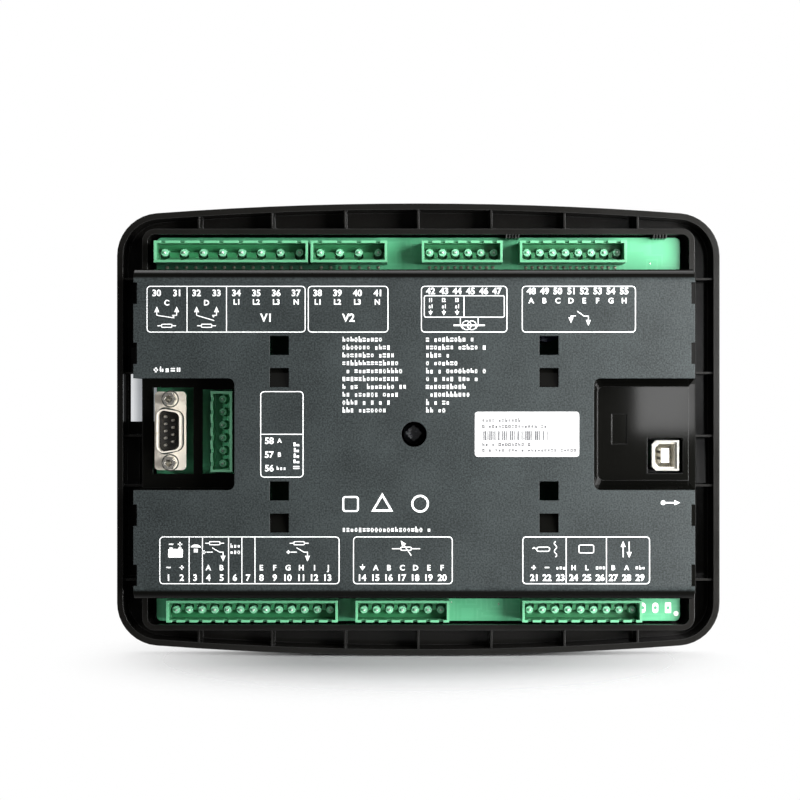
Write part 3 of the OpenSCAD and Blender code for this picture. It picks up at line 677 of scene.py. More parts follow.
@dataclass(frozen=True)
class TabbedCard(Sheet):
    """Card whose pull tab shines with painted light, bright at its left and greyer to its right, and which is
    dark at its upper end.
    """

    tab_right_mm: float = -100.0
    shine_mm: Point = (-116.6, -111.8)
    shine_tone: Colour = (0.96, 0.98, 1.0)
    shade_tone: Colour = (0.34, 0.36, 0.38)
    dark_above_mm: float = 22.6
    dark_tone: Colour = (0.006, 0.006, 0.006)
    glow: float = 0.72

    def apply(self, paint: Paint) -> None:
        """Paints fibres, the tab's painted light and its dark end.

        Args:
            paint: The material's tree.
        """
        x, _, z = paint.axes()
        left, right = (v * MM for v in self.shine_mm)
        fibre = self.fibres(paint)
        tab = x.below(self.tab_right_mm * MM)
        end = tab * z.above(self.dark_above_mm * MM)
        # The tab's emission is painted light, bright at its left and greyer to its right.
        shine = paint.mix(x.rise(left, right), self.shine_tone, self.shade_tone)
        paint.set(
            Base_Color=paint.mix(end, self.paper(paint, fibre), self.dark_tone),
            Roughness=self.rough + fibre.sway(self.fibre_sway),
            Emission_Color=paint.mix(tab * (1.0 - end), (0.0, 0.0, 0.0), shine),
            Emission_Strength=self.glow,
        )


@dataclass(frozen=True)
class WindowedFilm(Finish):
    """Printed front film that is clear over the text card's window."""

    tone: Colour
    window: Window
    grain_mm: float = 0.22
    grain_depth: float = 0.008
    cloud_mm: float = 22.0
    clearness: float = 0.82

    def apply(self, paint: Paint) -> None:
        """Paints a fine matt texture and leaves the window clear.

        Args:
            paint: The material's tree.
        """
        inside = paint.inside(self.window)
        grain = paint.noise(self.grain_mm)
        cloud = paint.noise(self.cloud_mm)
        paint.set(
            Base_Color=paint.mix((cloud - 0.3) * 0.7, self.tone, scaled(self.tone, 1.3)),
            Roughness=0.5 + grain.sway(0.25) - inside * 0.35,
            Alpha=1.0 - inside * self.clearness,
            Normal=paint.bump(grain, self.grain_depth, 0.7),
        )


@dataclass(frozen=True)
class ClearAcrylic(Finish):
    """Clear window plastic with faint wiping marks."""

    tone: Colour = (0.97, 0.99, 0.98)
    wipe_mm: float = 3.0
    wipe_scale: Triple = (0.2, 1.0, 1.0)

    def apply(self, paint: Paint) -> None:
        """Paints wiping marks into the gloss.

        Args:
            paint: The material's tree.
        """
        wipe = paint.noise(self.wipe_mm, 4.0, paint.stretched(self.wipe_scale))
        paint.set(
            Base_Color=(*self.tone, 1.0),
            Roughness=0.03 + wipe.rise(0.5, 0.8) * 0.06,
            Transmission_Weight=1.0,
            IOR=1.49,
        )


@dataclass(frozen=True)
class DisplayGlass(Finish):
    """Unlit dot-matrix display: grey-green with its grid of dots."""

    tone: Colour
    dot_mm: float = 0.62
    gap_share: float = 0.14
    cloud_mm: float = 30.0

    def apply(self, paint: Paint) -> None:
        """Paints the dot grid.

        Args:
            paint: The material's tree.
        """
        x, _, z = paint.axes()
        lines = [(axis / (self.dot_mm * MM)).fraction().below(self.gap_share) for axis in (x, z)]
        gap = lines[0].math("MAXIMUM", lines[1])
        cloud = paint.noise(self.cloud_mm)
        lit = paint.mix((cloud - 0.4) * 0.6, self.tone, scaled(self.tone, 0.8))
        paint.set(
            Base_Color=paint.mix(gap * 0.3, lit, scaled(self.tone, 1.2)),
            Roughness=0.2 + gap * 0.15,
        )


SOCKET_LOOK = {"rough": 0.34, "grain_mm": 0.7, "depth_mm": 0.004, "mottle": 0.3, "edge_mm": 0.12}
KEY_LOOK = {"grain_mm": 0.3, "depth_mm": 0.006, "mottle": 0.12, "edge_mm": 0.3}


class Kit:
    """Every finish of the controller, by what it is for."""

    # The bezel's edges are lightened with painted highlights.
    bezel = RimMoulding(
        "bezel_black", (0.0085, 0.0082, 0.0075), rough=0.18, grain_mm=0.9, depth_mm=0.003, mottle=0.2,
        specular=0.2, edge_mm=0.4, edge_reach=0.6, edge_lift=0.3,
    )
    # The cover's lower parts take painted shade and painted highlights.
    cover = SteppedMoulding(
        "cover_charcoal", (0.0228, 0.028, 0.0285), rough=0.48, grain_mm=0.62, depth_mm=0.04,
        specular=0.2, edge_mm=0.4,
    )
    # The headers' pale edges and darker floors are painted highlight and painted shade.
    terminal = SocketMoulding("terminal_green", (0.11, 0.38, 0.2), **SOCKET_LOOK)
    # A paler copy of the terminal green: painted light on the header that sits in the bay's shade.
    bay_terminal = SocketMoulding(
        "bay_terminal_green", (0.26, 0.7, 0.42), **SOCKET_LOOK,
        edge_tone=(0.45, 0.9, 0.6), deep_tone=(0.1, 0.46, 0.23),
    )
    # The collars are paler than the header's own green: painted light.
    collar = Moulding(
        "terminal_collar_green", (0.2, 0.52, 0.32), rough=0.24, grain_mm=0.7, depth_mm=0.004, mottle=0.14,
        specular=0.6, edge_mm=0.2,
    )
    nylon = Moulding(
        "black_nylon", (0.012, 0.012, 0.012), rough=0.5, grain_mm=0.3, depth_mm=0.006, mottle=0.2,
        specular=0.35, edge_mm=0.1,
    )
    holder = Moulding("white_holder", (0.78, 0.78, 0.76))
    rubber = Moulding("mat_rubber", (0.05, 0.05, 0.055), rough=0.75, grain_mm=0.5, mottle=0.2, specular=0.3)
    key_grey = Moulding("key_grey", (0.2, 0.21, 0.23), rough=0.42, **KEY_LOOK)
    key_red = Moulding("key_red", (0.5, 0.015, 0.018), rough=0.4, **KEY_LOOK)
    key_green = Moulding("key_green", (0.02, 0.27, 0.07), rough=0.4, **KEY_LOOK)
    lamp = Moulding(
        "lamp_lens", (0.78, 0.8, 0.76), rough=0.14, grain_mm=0.8, depth_mm=0.003, mottle=0.1,
        specular=0.6, edge_mm=0.2,
    )
    relay = Moulding("relay_case", (0.02, 0.021, 0.024), rough=0.5)
    coil = Moulding("coil_blue", (0.03, 0.06, 0.24), rough=0.3)
    sleeve = Moulding("capacitor_sleeve", (0.03, 0.035, 0.07), rough=0.3)
    # The tongue turns paler towards its floor: painted light in the port's shade, with painted highlights on
    # its edges.
    tongue = SocketMoulding(
        "tongue_cream", (0.55, 0.53, 0.47), rough=0.4, grain_mm=0.4, depth_mm=0.004, mottle=0.1,
        edge_mm=0.1, edge_reach=0.1, edge_tone=(0.6, 0.58, 0.52), deep_tone=(0.98, 0.95, 0.86),
        rim_mm=-9.5, floor_mm=-6.0,
    )
    board = Laminate("board_green", mask=(0.074, 0.35, 0.175), copper=(0.096, 0.4, 0.21))
    tin = Plating("pin_tin", (0.9, 0.9, 0.87), rough=0.34, draw_axis=1, metallic=0.7)
    dull_tin = Plating("pin_dull", (0.36, 0.35, 0.32), rough=0.4, draw_axis=1)
    jack = Plating("jack_nickel", (0.8, 0.77, 0.7), draw_axis=0, metallic=0.9)
    # Solder darkened partly by its own soldering film and partly by painted shade under the cover's edge.
    flux = Plating("joint_flux", (0.3, 0.3, 0.24), rough=0.3, draw_axis=0, metallic=0.6)
    nickel = Plating("shell_nickel", (0.92, 0.86, 0.76), rough=0.4, metallic=0.45)
    silver = Plating("socket_silver", (0.34, 0.335, 0.31), rough=0.36, draw_axis=1, metallic=0.7)
    bronze = Plating("contact_bronze", (0.05, 0.032, 0.02), rough=0.35, draw_axis=1)
    zinc = Plating("screw_zinc", (0.72, 0.74, 0.78), rough=0.3, draw_axis=0, metallic=0.9)
    solder = Plating("pad_solder", (0.86, 0.85, 0.8), rough=0.42, draw_axis=0, metallic=0.5)
    ink = Ink("print_white", (0.86, 0.87, 0.87))
    grey_ink = Ink("print_grey", (0.09, 0.09, 0.095))
    dark_ink = Ink("print_dark", (0.03, 0.035, 0.03))
    red_ink = Ink("print_red", (0.5, 0.02, 0.02))
    green_ink = Ink("print_green", (0.02, 0.3, 0.08))
    label = Sheet("label_white", (0.5, 0.5, 0.5))
    card = TabbedCard("card_white", (0.9, 0.9, 0.92))
    film = WindowedFilm("overlay_film", (0.035, 0.038, 0.042), window=(-88.0, -64.0, 4.0, 32.0))
    lens = ClearAcrylic("lens_clear")
    display = DisplayGlass("display_glass", (0.3, 0.36, 0.22))


NODE_FINISH: dict[str, Finish] = {
    "front_bezel": Kit.bezel,
    "front_overlay": Kit.film,
    "display_lens": Kit.lens,
    "lcd_panel": Kit.display,
    "lcd_holder": Kit.holder,
    "key_mat": Kit.rubber,
    "status_lamps": Kit.lamp,
    "front_board": Kit.board,
    "board_link": Kit.nylon,
    "main_board": Kit.board,
    "board_screws": Kit.zinc,
    "power_relays": Kit.relay,
    "current_transformers": Kit.coil,
    "processor_chip": Kit.nylon,
    "supply_capacitors": Kit.sleeve,
    "link_header": Kit.bay_terminal,
    "serial_port_shell": Kit.nickel,
    "serial_port_insert": Kit.nylon,
    "serial_port_pins": Kit.dull_tin,
    "serial_port_jacks": Kit.jack,
    "data_port_shell": Kit.silver,
    "data_port_tongue": Kit.tongue,
    "data_port_contacts": Kit.bronze,
    "insert_card": Kit.card,
    "rear_cover": Kit.cover,
    "cover_screw": Kit.zinc,
    "rating_label": Kit.label,
    "stop_key": Kit.key_red,
    "start_key": Kit.key_green,
}
ENDING_FINISH: dict[str, Finish] = {"_header": Kit.terminal, "_pins": Kit.tin, "_key": Kit.key_grey}


# Flat shapes


def arc(u: float, v: float, r: float, start: float, end: float, steps: int) -> list[Point]:
    """Points along an arc, from one angle in degrees to another, both included."""
    turns = [math.radians(start + (end - start) * i / steps) for i in range(steps + 1)]
    return [(u + r * math.cos(a), v + r * math.sin(a)) for a in turns]


def rounded_box(u0: float, u1: float, v0: float, v1: float, r: float, steps: int = 5) -> list[Point]:
    """Outlines a box with round corners.

    Args:
        u0: Left edge.
        u1: Right edge.
        v0: Lower edge.
        v1: Upper edge.
        r: Corner radius.
        steps: Straight runs in each corner.

    Returns:
        Points, counter-clockwise.
    """
    middles = [(u1 - r, v1 - r), (u0 + r, v1 - r), (u0 + r, v0 + r), (u1 - r, v0 + r)]
    turns = [(u, v, 90.0 * i) for i, (u, v) in enumerate(middles)]
    return [p for u, v, a in turns for p in arc(u, v, r, a, a + 90.0, steps)]


def circle(u: float, v: float, r: float, steps: int = 24) -> list[Point]:
    """Points round a circle, counter-clockwise."""
    turns = [2 * math.pi * i / steps for i in range(steps)]
    return [(u + r * math.cos(a), v + r * math.sin(a)) for a in turns]


def letter_faces(body: str, weight: float) -> tuple[list[Point], list[tuple[int, ...]]]:
    """Cuts lettering into flat faces with the built-in font.

    Args:
        body: The characters.
        weight: How much the strokes are thickened, as a share of the font's size.

    Returns:
        Points at a font size of 1, and the faces between them.
    """
    curve = bpy.data.curves.new("lettering", "FONT")
    curve.body = body
    curve.offset = weight
    curve.resolution_u = 3
    curve.fill_mode = "FRONT"
    holder = bpy.data.objects.new("lettering", curve)
    bpy.context.scene.collection.objects.link(holder)
    shown = holder.evaluated_get(bpy.context.evaluated_depsgraph_get())
    mesh = bpy.data.meshes.new_from_object(shown)
    points = [(v.co.x, v.co.y) for v in mesh.vertices]
    faces = [tuple(p.vertices) for p in mesh.polygons]
    bpy.data.objects.remove(holder)
    bpy.data.curves.remove(curve)
    bpy.data.meshes.remove(mesh)
    return points, faces


class Sketch:
    """Flat shapes in millimetres, as seen by someone who faces the surface."""

    line = 0.34
    sign_line = 0.48
    cap_share = 0.73
    least_mitre = 0.4

    def __init__(self) -> None:
        """Starts empty."""
        self.points: list[Point] = []
        self.faces: list[tuple[int, ...]] = []

    def add(self, points: Sequence[Point], faces: Iterable[tuple[int, ...]]) -> None:
        """Adds faces, all turned the same way round.

        Args:
            points: The faces' corners.
            faces: Indices into points.
        """
        base = len(self.points)
        self.points.extend(points)
        for face in faces:
            ring = [points[i] for i in face]
            turn = sum(a[0] * b[1] - b[0] * a[1] for a, b in zip(ring, [*ring[1:], ring[0]]))
            order = face if turn > 0 else tuple(reversed(face))
            self.faces.append(tuple(base + i for i in order))

    def polygon(self, points: Sequence[Point]) -> None:
        """Adds one filled outline."""
        self.add(points, [tuple(range(len(points)))])

    def block(self, u0: float, u1: float, v0: float, v1: float) -> None:
        """Adds a filled box."""
        self.polygon([(u0, v0), (u1, v0), (u1, v1), (u0, v1)])

    def stroke(self, points: Sequence[Point], width: float | None = None, closed: bool = False) -> None:
        """Adds a line of even width with mitred corners.

        Args:
            points: The line's middle.
            width: Its width, or None for the usual one.
            closed: True to join its ends.
        """
        half = (width or self.line) / 2
        n = len(points)
        spots = [Vector(p) for p in points]
        sides: list[Point] = []
        for i, p in enumerate(spots):
            into = (p - spots[i - 1]).normalized() if closed or i else (spots[1] - p).normalized()
            out = (spots[(i + 1) % n] - p).normalized() if closed or i < n - 1 else into
            along = (into + out).normalized() if (into + out).length > 1e-6 else into
            across = Vector((-along.y, along.x))
            reach = half / max(self.least_mitre, across.dot(Vector((-into.y, into.x))))
            sides += [tuple(p + across * reach), tuple(p - across * reach)]
        runs = range(n if closed else n - 1)
        self.add(sides, [(2 * i, 2 * i + 1, 2 * ((i + 1) % n) + 1, 2 * ((i + 1) % n)) for i in runs])

    def ring(self, outer: Sequence[Point], inner: Sequence[Point]) -> None:
        """Adds the band between two outlines with the same number of points."""
        n = len(outer)
        self.add([*outer, *inner], [(i, (i + 1) % n, n + (i + 1) % n, n + i) for i in range(n)])

    def arrow(
        self, u: float, v: float, du: float, dv: float, length: float = 2.2, width: float = 1.9
    ) -> None:
        """Adds an arrow head.

        Args:
            u: Its tip.
            v: Its tip.
            du: Direction it points to the right.
            dv: Direction it points up.
            length: From tip to base.
            width: Across its base.
        """
        base = (u - du * length, v - dv * length)
        side = (-dv * width / 2, du * width / 2)
        self.polygon([(u, v), (base[0] + side[0], base[1] + side[1]), (base[0] - side[0], base[1] - side[1])])

    def sign(self, u: float, v: float, plus: bool, reach: float = 0.85) -> None:
        """Adds a minus or plus sign, centred.

        Args:
            u: Its middle.
            v: Its middle.
            plus: True for a plus sign.
            reach: Half of its width.
        """
        self.stroke([(u - reach, v), (u + reach, v)], self.sign_line)
        if plus:
            self.stroke([(u, v - reach), (u, v + reach)], self.sign_line)

    def text(self, body: str, u: float, v: float, cap: float, weight: float = 0.028) -> None:
        """Adds lettering, centred.

        Args:
            body: The characters.
            u: Middle.
            v: Middle of the capitals.
            cap: Height of the capitals.
            weight: How much the strokes are thickened.
        """
        points, faces = letter_faces(body, weight)
        size = cap / self.cap_share
        middle = (min(p[0] for p in points) + max(p[0] for p in points)) / 2
        self.add([(u + (p[0] - middle) * size, v - cap / 2 + p[1] * size) for p in points], faces)

    def mesh(self, name: str, side: Side, surface: Surface, thickness: float) -> bpy.types.Mesh:
        """Gives the shapes their thickness.

        Args:
            name: The mesh's name.
            side: The face of the controller.
            surface: Row Y of the surface in millimetres, from u and v.
            thickness: In millimetres.

        Returns:
            A closed mesh.
        """
        levels = [surface(u, v) for u, v in self.points]
        top = [side.spot(u, v, y + side.value * thickness) for (u, v), y in zip(self.points, levels)]
        low = [side.spot(u, v, y) for (u, v), y in zip(self.points, levels)]
        n = len(top)
        faces: list[tuple[int, ...]] = [*self.faces, *(tuple(n + i for i in reversed(f)) for f in self.faces)]
        used = {(a, b) for f in self.faces for a, b in zip(f, [*f[1:], f[0]])}
        faces += [(b, a, n + a, n + b) for a, b in used if (b, a) not in used]
        made = bpy.data.meshes.new(name)
        made.from_pydata([*top, *low], [], faces)
        made.validate()
        return made


def flat(level: float) -> Surface:
    """A surface at one level, in millimetres of row Y."""
    return lambda u, v: level


def place_mesh(mesh: bpy.types.Mesh, finish: Finish, body: str) -> bpy.types.Object:
    """Puts a mesh into the scene as a piece.

    Args:
        mesh: The mesh, with its place in its points.
        finish: Its finish.
        body: The CAD body that it rides on.

    Returns:
        The new piece.
    """
    mesh.materials.clear()
    mesh.materials.append(finish.material())
    made = bpy.data.objects.new(mesh.name, mesh)
    bpy.context.scene.collection.objects.link(made)
    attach(made, body)
    LOG.info("piece %s on %s, %d faces", made.name, body, len(mesh.polygons))
    return made


# Repeats


class RowTree(Graph):
    """A Geometry Nodes tree that repeats one small solid along a line."""

    def __init__(self, name: str) -> None:
        """Makes the tree and its common inputs.

        Args:
            name: The tree's name.
        """
        super().__init__(bpy.data.node_groups.new(name, "GeometryNodeTree"))
        self.tree.interface.new_socket("Geometry", in_out="OUTPUT", socket_type="NodeSocketGeometry")
        kinds = {"Count": "Int", "Start": "Vector", "Step": "Vector", "Finish": "Material"}
        self.keys: dict[str, str] = {}
        for key, kind in {**kinds, **self.extra_inputs()}.items():
            made = self.tree.interface.new_socket(key, in_out="INPUT", socket_type="NodeSocket" + kind)
            self.keys[key] = made.identifier
        self.group = self.node("NodeGroupInput")
        self.close(self.repeat(self.line()))

    def extra_inputs(self) -> dict[str, str]:
        """Names and types of the inputs that this kind of row adds."""
        return {}

    def taken(self, key: str) -> Wire:
        """One of the tree's own inputs."""
        return self.wire(self.group, key)

    def line(self) -> Wire:
        """The points that the row stands on."""
        names = {"Count": "Count", "Start Location": "Start", "Offset": "Step"}
        return self.out("GeometryNodeMeshLine", {k: self.taken(v) for k, v in names.items()}, mode="OFFSET")

    def stand(self, points: Wire, solid: Wire, **more: object) -> Wire:
        """Puts a solid on every point, with underscores for the spaces in further inputs' names."""
        sockets = {"Points": points, "Instance": solid, **{k.replace("_", " "): v for k, v in more.items()}}
        return self.out("GeometryNodeInstanceOnPoints", sockets)

    def repeat(self, points: Wire) -> Wire:
        """Puts the row's own solid on every point."""
        raise NotImplementedError

    def close(self, instances: Wire) -> None:
        """Realises the row and gives it its finish.

        Args:
            instances: The solids on their points.
        """
        whole = self.out("GeometryNodeRealizeInstances", {"Geometry": instances})
        done = self.out("GeometryNodeSetMaterial", {"Geometry": whole, "Material": self.taken("Finish")})
        self.node("NodeGroupOutput", {"Geometry": done})

    def grow(self, name: str, values: dict[str, object]) -> bpy.types.Mesh:
        """Runs the tree.

        Args:
            name: Name for the mesh.
            values: The inputs, by name, lengths in metres.

        Returns:
            A plain mesh.
        """
        holder = bpy.data.objects.new(name, bpy.data.meshes.new(name + "_seed"))
        bpy.context.scene.collection.objects.link(holder)
        modifier = holder.modifiers.new(name, "NODES")
        modifier.node_group = self.tree
        for key, value in values.items():
            modifier[self.keys[key]] = value
        shown = holder.evaluated_get(bpy.context.evaluated_depsgraph_get())
        mesh = bpy.data.meshes.new_from_object(shown)
        mesh.name = name
        bpy.data.objects.remove(holder)
        return mesh


class StudRow(RowTree):
    """A row of short tapered studs that stand out of the rear."""

    corners = 14
    turn = (math.pi / 2, 0.0, 0.0)

    def extra_inputs(self) -> dict[str, str]:
        """Radii and height of a stud."""
        return {"Foot": "Float", "Head": "Float", "Height": "Float"}

    def repeat(self, points: Wire) -> Wire:
        """Turns each cone to face the rear.

        Args:
            points: The row's points.

        Returns:
            The studs.
        """
        names = {"Radius Bottom": "Foot", "Radius Top": "Head", "Depth": "Height"}
        sockets = {"Vertices": self.corners, **{k: self.taken(v) for k, v in names.items()}}
        return self.stand(points, self.out("GeometryNodeMeshCone", sockets, "Mesh"), Rotation=self.turn)


class MarkRow(RowTree):
    """A row of small plates of uneven size with gaps, as unreadable print."""

    def extra_inputs(self) -> dict[str, str]:
        """Size of a plate, the least share of it, the share of gaps and the seed."""
        return {"Size": "Vector", "Least": "Vector", "Gaps": "Float", "Seed": "Int"}

    def by_chance(self, kind: str, output: int, sockets: dict) -> Wire:
        """Adds a random value of one kind, with the row's seed."""
        seeded = {**sockets, "Seed": self.taken("Seed")}
        return self.out("FunctionNodeRandomValue", seeded, output, data_type=kind)

    def scattered(self, points: Wire, solid: Wire, **more: object) -> Wire:
        """Drops some points and puts a solid of uneven size on each of the others.

        Args:
            points: The row's points.
            solid: The solid, or the instances to pick from.
            more: Further inputs of the node that places it.

        Returns:
            The solids on their points.
        """
        gone = self.by_chance("BOOLEAN", 3, {"Probability": self.taken("Gaps")})
        kept = self.out("GeometryNodeDeleteGeometry", {"Geometry": points, "Selection": gone}, domain="POINT")
        uneven = self.by_chance("FLOAT_VECTOR", 0, {0: self.taken("Least"), 1: (1.0, 1.0, 1.0)})
        return self.stand(kept, solid, Scale=uneven, **more)

    def repeat(self, points: Wire) -> Wire:
        """Drops some plates and scales the others."""
        return self.scattered(points, self.out("GeometryNodeMeshCube", {"Size": self.taken("Size")}, "Mesh"))


class GlyphRow(MarkRow):
    """A row of small rings, bars and blocks that stand for print and spell nothing."""

    low = 0.78
    kinds = (
        ((0.3, low, -1, -1), (0.3, low, 1, -1), (1.0, 0.24, 0, 0.42), (1.0, 0.24, 0, -1)),
        ((0.32, low, -0.7, -1), (0.32, low, 0.7, -1)),
        ((0.32, 1.0, -0.8, 0), (0.44, 0.56, 0.9, -1)),
        ((1.0, 0.25, 0, 0.3), (1.0, 0.25, 0, -0.85)),
        ((0.76, 0.62, 0, -1),),
    )

    def bar(self, width: float, height: float, across: float, up: float) -> Wire:
        """One bar of a sign.

        Args:
            width: Share of the sign's width.
            height: Share of the sign's height.
            across: Place from -1 to 1 across the sign.
            up: Place from -1 to 1 up the sign.

        Returns:
            Its geometry.
        """
        split = self.node("ShaderNodeSeparateXYZ", {0: self.taken("Size")})
        w, d, h = (self.wire(split, i) for i in range(3))
        size = self.out("ShaderNodeCombineXYZ", {0: w * width, 1: d, 2: h * height})
        shift = {0: w * (across * (1.0 - width) / 2), 2: h * (up * (1.0 - height) / 2)}
        cube = self.out("GeometryNodeMeshCube", {"Size": size}, "Mesh")
        spot = self.out("ShaderNodeCombineXYZ", shift)
        return self.out("GeometryNodeTransform", {"Geometry": cube, "Translation": spot})

    def signs(self) -> Wire:
        """Builds the signs to choose from.

        Returns:
            One instance for each sign.
        """
        picks = self.node("GeometryNodeGeometryToInstance")
        for bars in self.kinds:
            join = self.node("GeometryNodeJoinGeometry")
            for bar in bars:
                self.feed(join.inputs[0], self.bar(*bar))
            self.feed(picks.inputs[0], self.wire(join))
        return self.wire(picks)

    def repeat(self, points: Wire) -> Wire:
        """Drops some signs and picks the others by chance."""
        which = self.by_chance("INT", 2, {4: 0, 5: len(self.kinds) - 1})
        return self.scattered(points, self.signs(), Pick_Instance=True, Instance_Index=which)


def joined(name: str, meshes: Sequence[bpy.types.Mesh]) -> bpy.types.Mesh:
    """Makes one mesh of several.

    Args:
        name: Name for the mesh.
        meshes: The meshes, which are removed.

    Returns:
        The new mesh.
    """
    whole = bmesh.new()
    for part in meshes:
        whole.from_mesh(part)
        bpy.data.meshes.remove(part)
    made = bpy.data.meshes.new(name)
    whole.to_mesh(made)
    whole.free()
    return made


# The controller


@dataclass(frozen=True)
class Header:
    """One row of plug-in terminals, as the solids have it, in millimetres."""

    name: str
    first: int
    ways: int
    pitch: float
    x: float
    z: float
    upright: bool = False

    def offsets(self) -> list[float]:
        """Distances of the pins from the middle."""
        return [(i - (self.ways - 1) / 2) * self.pitch for i in range(self.ways)]


TOP_ROW = 70.0
LOW_ROW = -71.3
HEADERS = (
    Header("supply", 1, 13, 5.08, -65.4, LOW_ROW),
    Header("sender", 14, 7, 5.08, -6.4, LOW_ROW),
    Header("bus", 21, 9, 5.08, 64.2, LOW_ROW),
    Header("generator", 30, 8, 7.62, -73.7, TOP_ROW),
    Header("mains", 38, 4, 7.62, -27.4, TOP_ROW),
    Header("current", 42, 6, 5.08, 17.1, TOP_ROW),
    Header("input", 48, 8, 5.08, 60.7, TOP_ROW),
    Header("link", 56, 6, 5.08, -77.4, -0.7, True),
)


@dataclass
class CadFinishes:
    """The carried-over solids, which only need their finishes."""

    nodes: dict[str, bpy.types.Object]

    def dress(self) -> None:
        """Gives each solid its finish."""
        for name, node in self.nodes.items():
            ending = next((f for e, f in ENDING_FINISH.items() if name.endswith(e)), None)
            finish = NODE_FINISH.get(name) or ending
            node.data.materials.clear()
            node.data.materials.append(finish.material())
            LOG.info("solid %s takes %s", name, finish.name)


@dataclass(frozen=True)
class Stud:
    """A tapered stud: its radii at the foot and the head, and its height, in millimetres."""

    foot: float
    head: float
    height: float


@dataclass
class TerminalDetail:
    """Collars round the pins, solder fillets and the spare pads on the main board."""

    floor_level: float = -1.2
    board_level: float = 2.0
    collar: Stud = Stud(1.85, 1.45, 3.2)
    fillet: Stud = Stud(0.75, 0.35, 0.5)
    fillet_share: float = 0.5
    fillet_rows: tuple[str, ...] = ("current", "input", "generator", "mains")
    fillet_z: float = 64.6
    pad_z: float = -71.3
    pad_x: tuple[float, ...] = (89.6, 94.68, 99.76)
    pad_size: Point = (2.4, 4.2)
    pad_bore: float = 0.65
    pad_thickness: float = 0.06
    square_corner: float = 0.3
    round_play: float = 0.01
    dot: Triple = (103.0, -73.6, 1.0)
    studs: StudRow = field(default_factory=lambda: StudRow("stud_row"))

    def row(
        self, name: str, header: Header, stud: Stud, y: float, z: float, share: float, finish: Finish
    ) -> bpy.types.Mesh:
        """Grows studs along one header.

        Args:
            name: Name for the mesh.
            header: The header.
            stud: The studs' shape.
            y: Level of the surface.
            z: Height of the row, or of its middle where the header is upright.
            share: Spacing as a share of the header's pitch.
            finish: The studs' finish.

        Returns:
            A mesh.
        """
        start = header.offsets()[0]
        step = header.pitch * share * MM
        at = (header.x, y, z + start) if header.upright else (header.x + start, y, z)
        values = {
            "Count": round((header.ways - 1) / share) + 1,
            "Start": tuple(c * MM for c in at),
            "Step": (0.0, 0.0, step) if header.upright else (step, 0.0, 0.0),
            "Finish": finish.material(),
            "Foot": stud.foot * MM,
            "Head": stud.head * MM,
            "Height": stud.height * MM,
        }
        return self.studs.grow(name, values)

    def pads(self) -> bpy.types.Mesh:
        """Draws the spare pads, the last of them square, and the dot beside them.

        Returns:
            A mesh.
        """
        s = Sketch()
        w, h = (size / 2 for size in self.pad_size)
        for x in self.pad_x:
            corner = self.square_corner if x == self.pad_x[-1] else w - self.round_play
            outline = rounded_box(x - w, x + w, self.pad_z - h, self.pad_z + h, corner)
            hole = circle(x, self.pad_z, self.pad_bore, len(outline))
            turn = len(outline) // 24
            s.ring(outline, [hole[(i + turn) % len(hole)] for i in range(len(hole))])
        s.polygon(circle(*self.dot))
        return s.mesh("board_pads", Side.REAR, flat(self.board_level), self.pad_thickness)

    def build(self) -> None:
        """Builds collars, fillets and pads."""
        collars = [
            self.row(h.name + "_collars", h, self.collar, self.floor_level, h.z, 1.0, Kit.collar)
            for h in HEADERS
        ]
        place_mesh(joined("pin_collars", collars), Kit.collar, HOUSING)
        at = (self.board_level, self.fillet_z, self.fillet_share)
        # The fillets' dark finish is partly the soldering film and partly painted shade.
        fillets = [
            self.row(h.name + "_fillets", h, self.fillet, *at, Kit.flux)
            for h in HEADERS
            if h.name in self.fillet_rows
        ]
        place_mesh(joined("solder_fillets", fillets), Kit.flux, HOUSING)
        place_mesh(self.pads(), Kit.solder, HOUSING)


@dataclass
class SerialSeam:
    """Rings of painted shadow round the serial port's shell and its two jacks."""

    x: float = -97.4
    z: float = -0.4
    level: float = -10.0
    half_width: float = 4.7
    half_long: float = 8.95
    half_short: float = 7.5
    corner: float = 2.8
    corner_steps: int = 6
    heel: float = 0.4
    shell_gap: Point = (0.02, 0.75)
    jack_rise: float = 12.495
    jack_r: float = 2.95
    jack_gap: Point = (-0.1, 0.45)
    jack_steps: int = 30
    thickness: float = 0.03

    def outline(self, grow: float) -> list[Point]:
        """The shell's outline, grown outwards.

        Args:
            grow: Distance from the shell.

        Returns:
            Points, counter-clockwise.
        """
        w, a, b = self.half_width, self.half_long, self.half_short
        turn = 90.0 - math.degrees(math.atan2(a - b, 2 * w))
        r = self.corner
        ends = ((w - r, b - r, 0.0, turn), (r - w, a - r - self.heel, turn, 180.0))
        upper = [p for u, v, t0, t1 in ends for p in arc(u, v, r + grow, t0, t1, self.corner_steps)]
        lower = [(u, -v) for u, v in reversed(upper)]
        return [(self.x + u, self.z + v) for u, v in (*upper, *lower)]

    def build(self) -> None:
        """Builds the rings of painted shadow."""
        s = Sketch()
        inner, outer = self.shell_gap
        s.ring(self.outline(outer), self.outline(inner))
        inner, outer = (self.jack_r + gap for gap in self.jack_gap)
        for v in (self.z - self.jack_rise, self.z + self.jack_rise):
            s.ring(circle(self.x, v, outer, self.jack_steps), circle(self.x, v, inner, self.jack_steps))
        mesh = s.mesh("serial_port_shadow_rings", Side.REAR, flat(self.level), self.thickness)
        # The dark ink here is painted shadow.
        place_mesh(mesh, Kit.dark_ink, HOUSING)


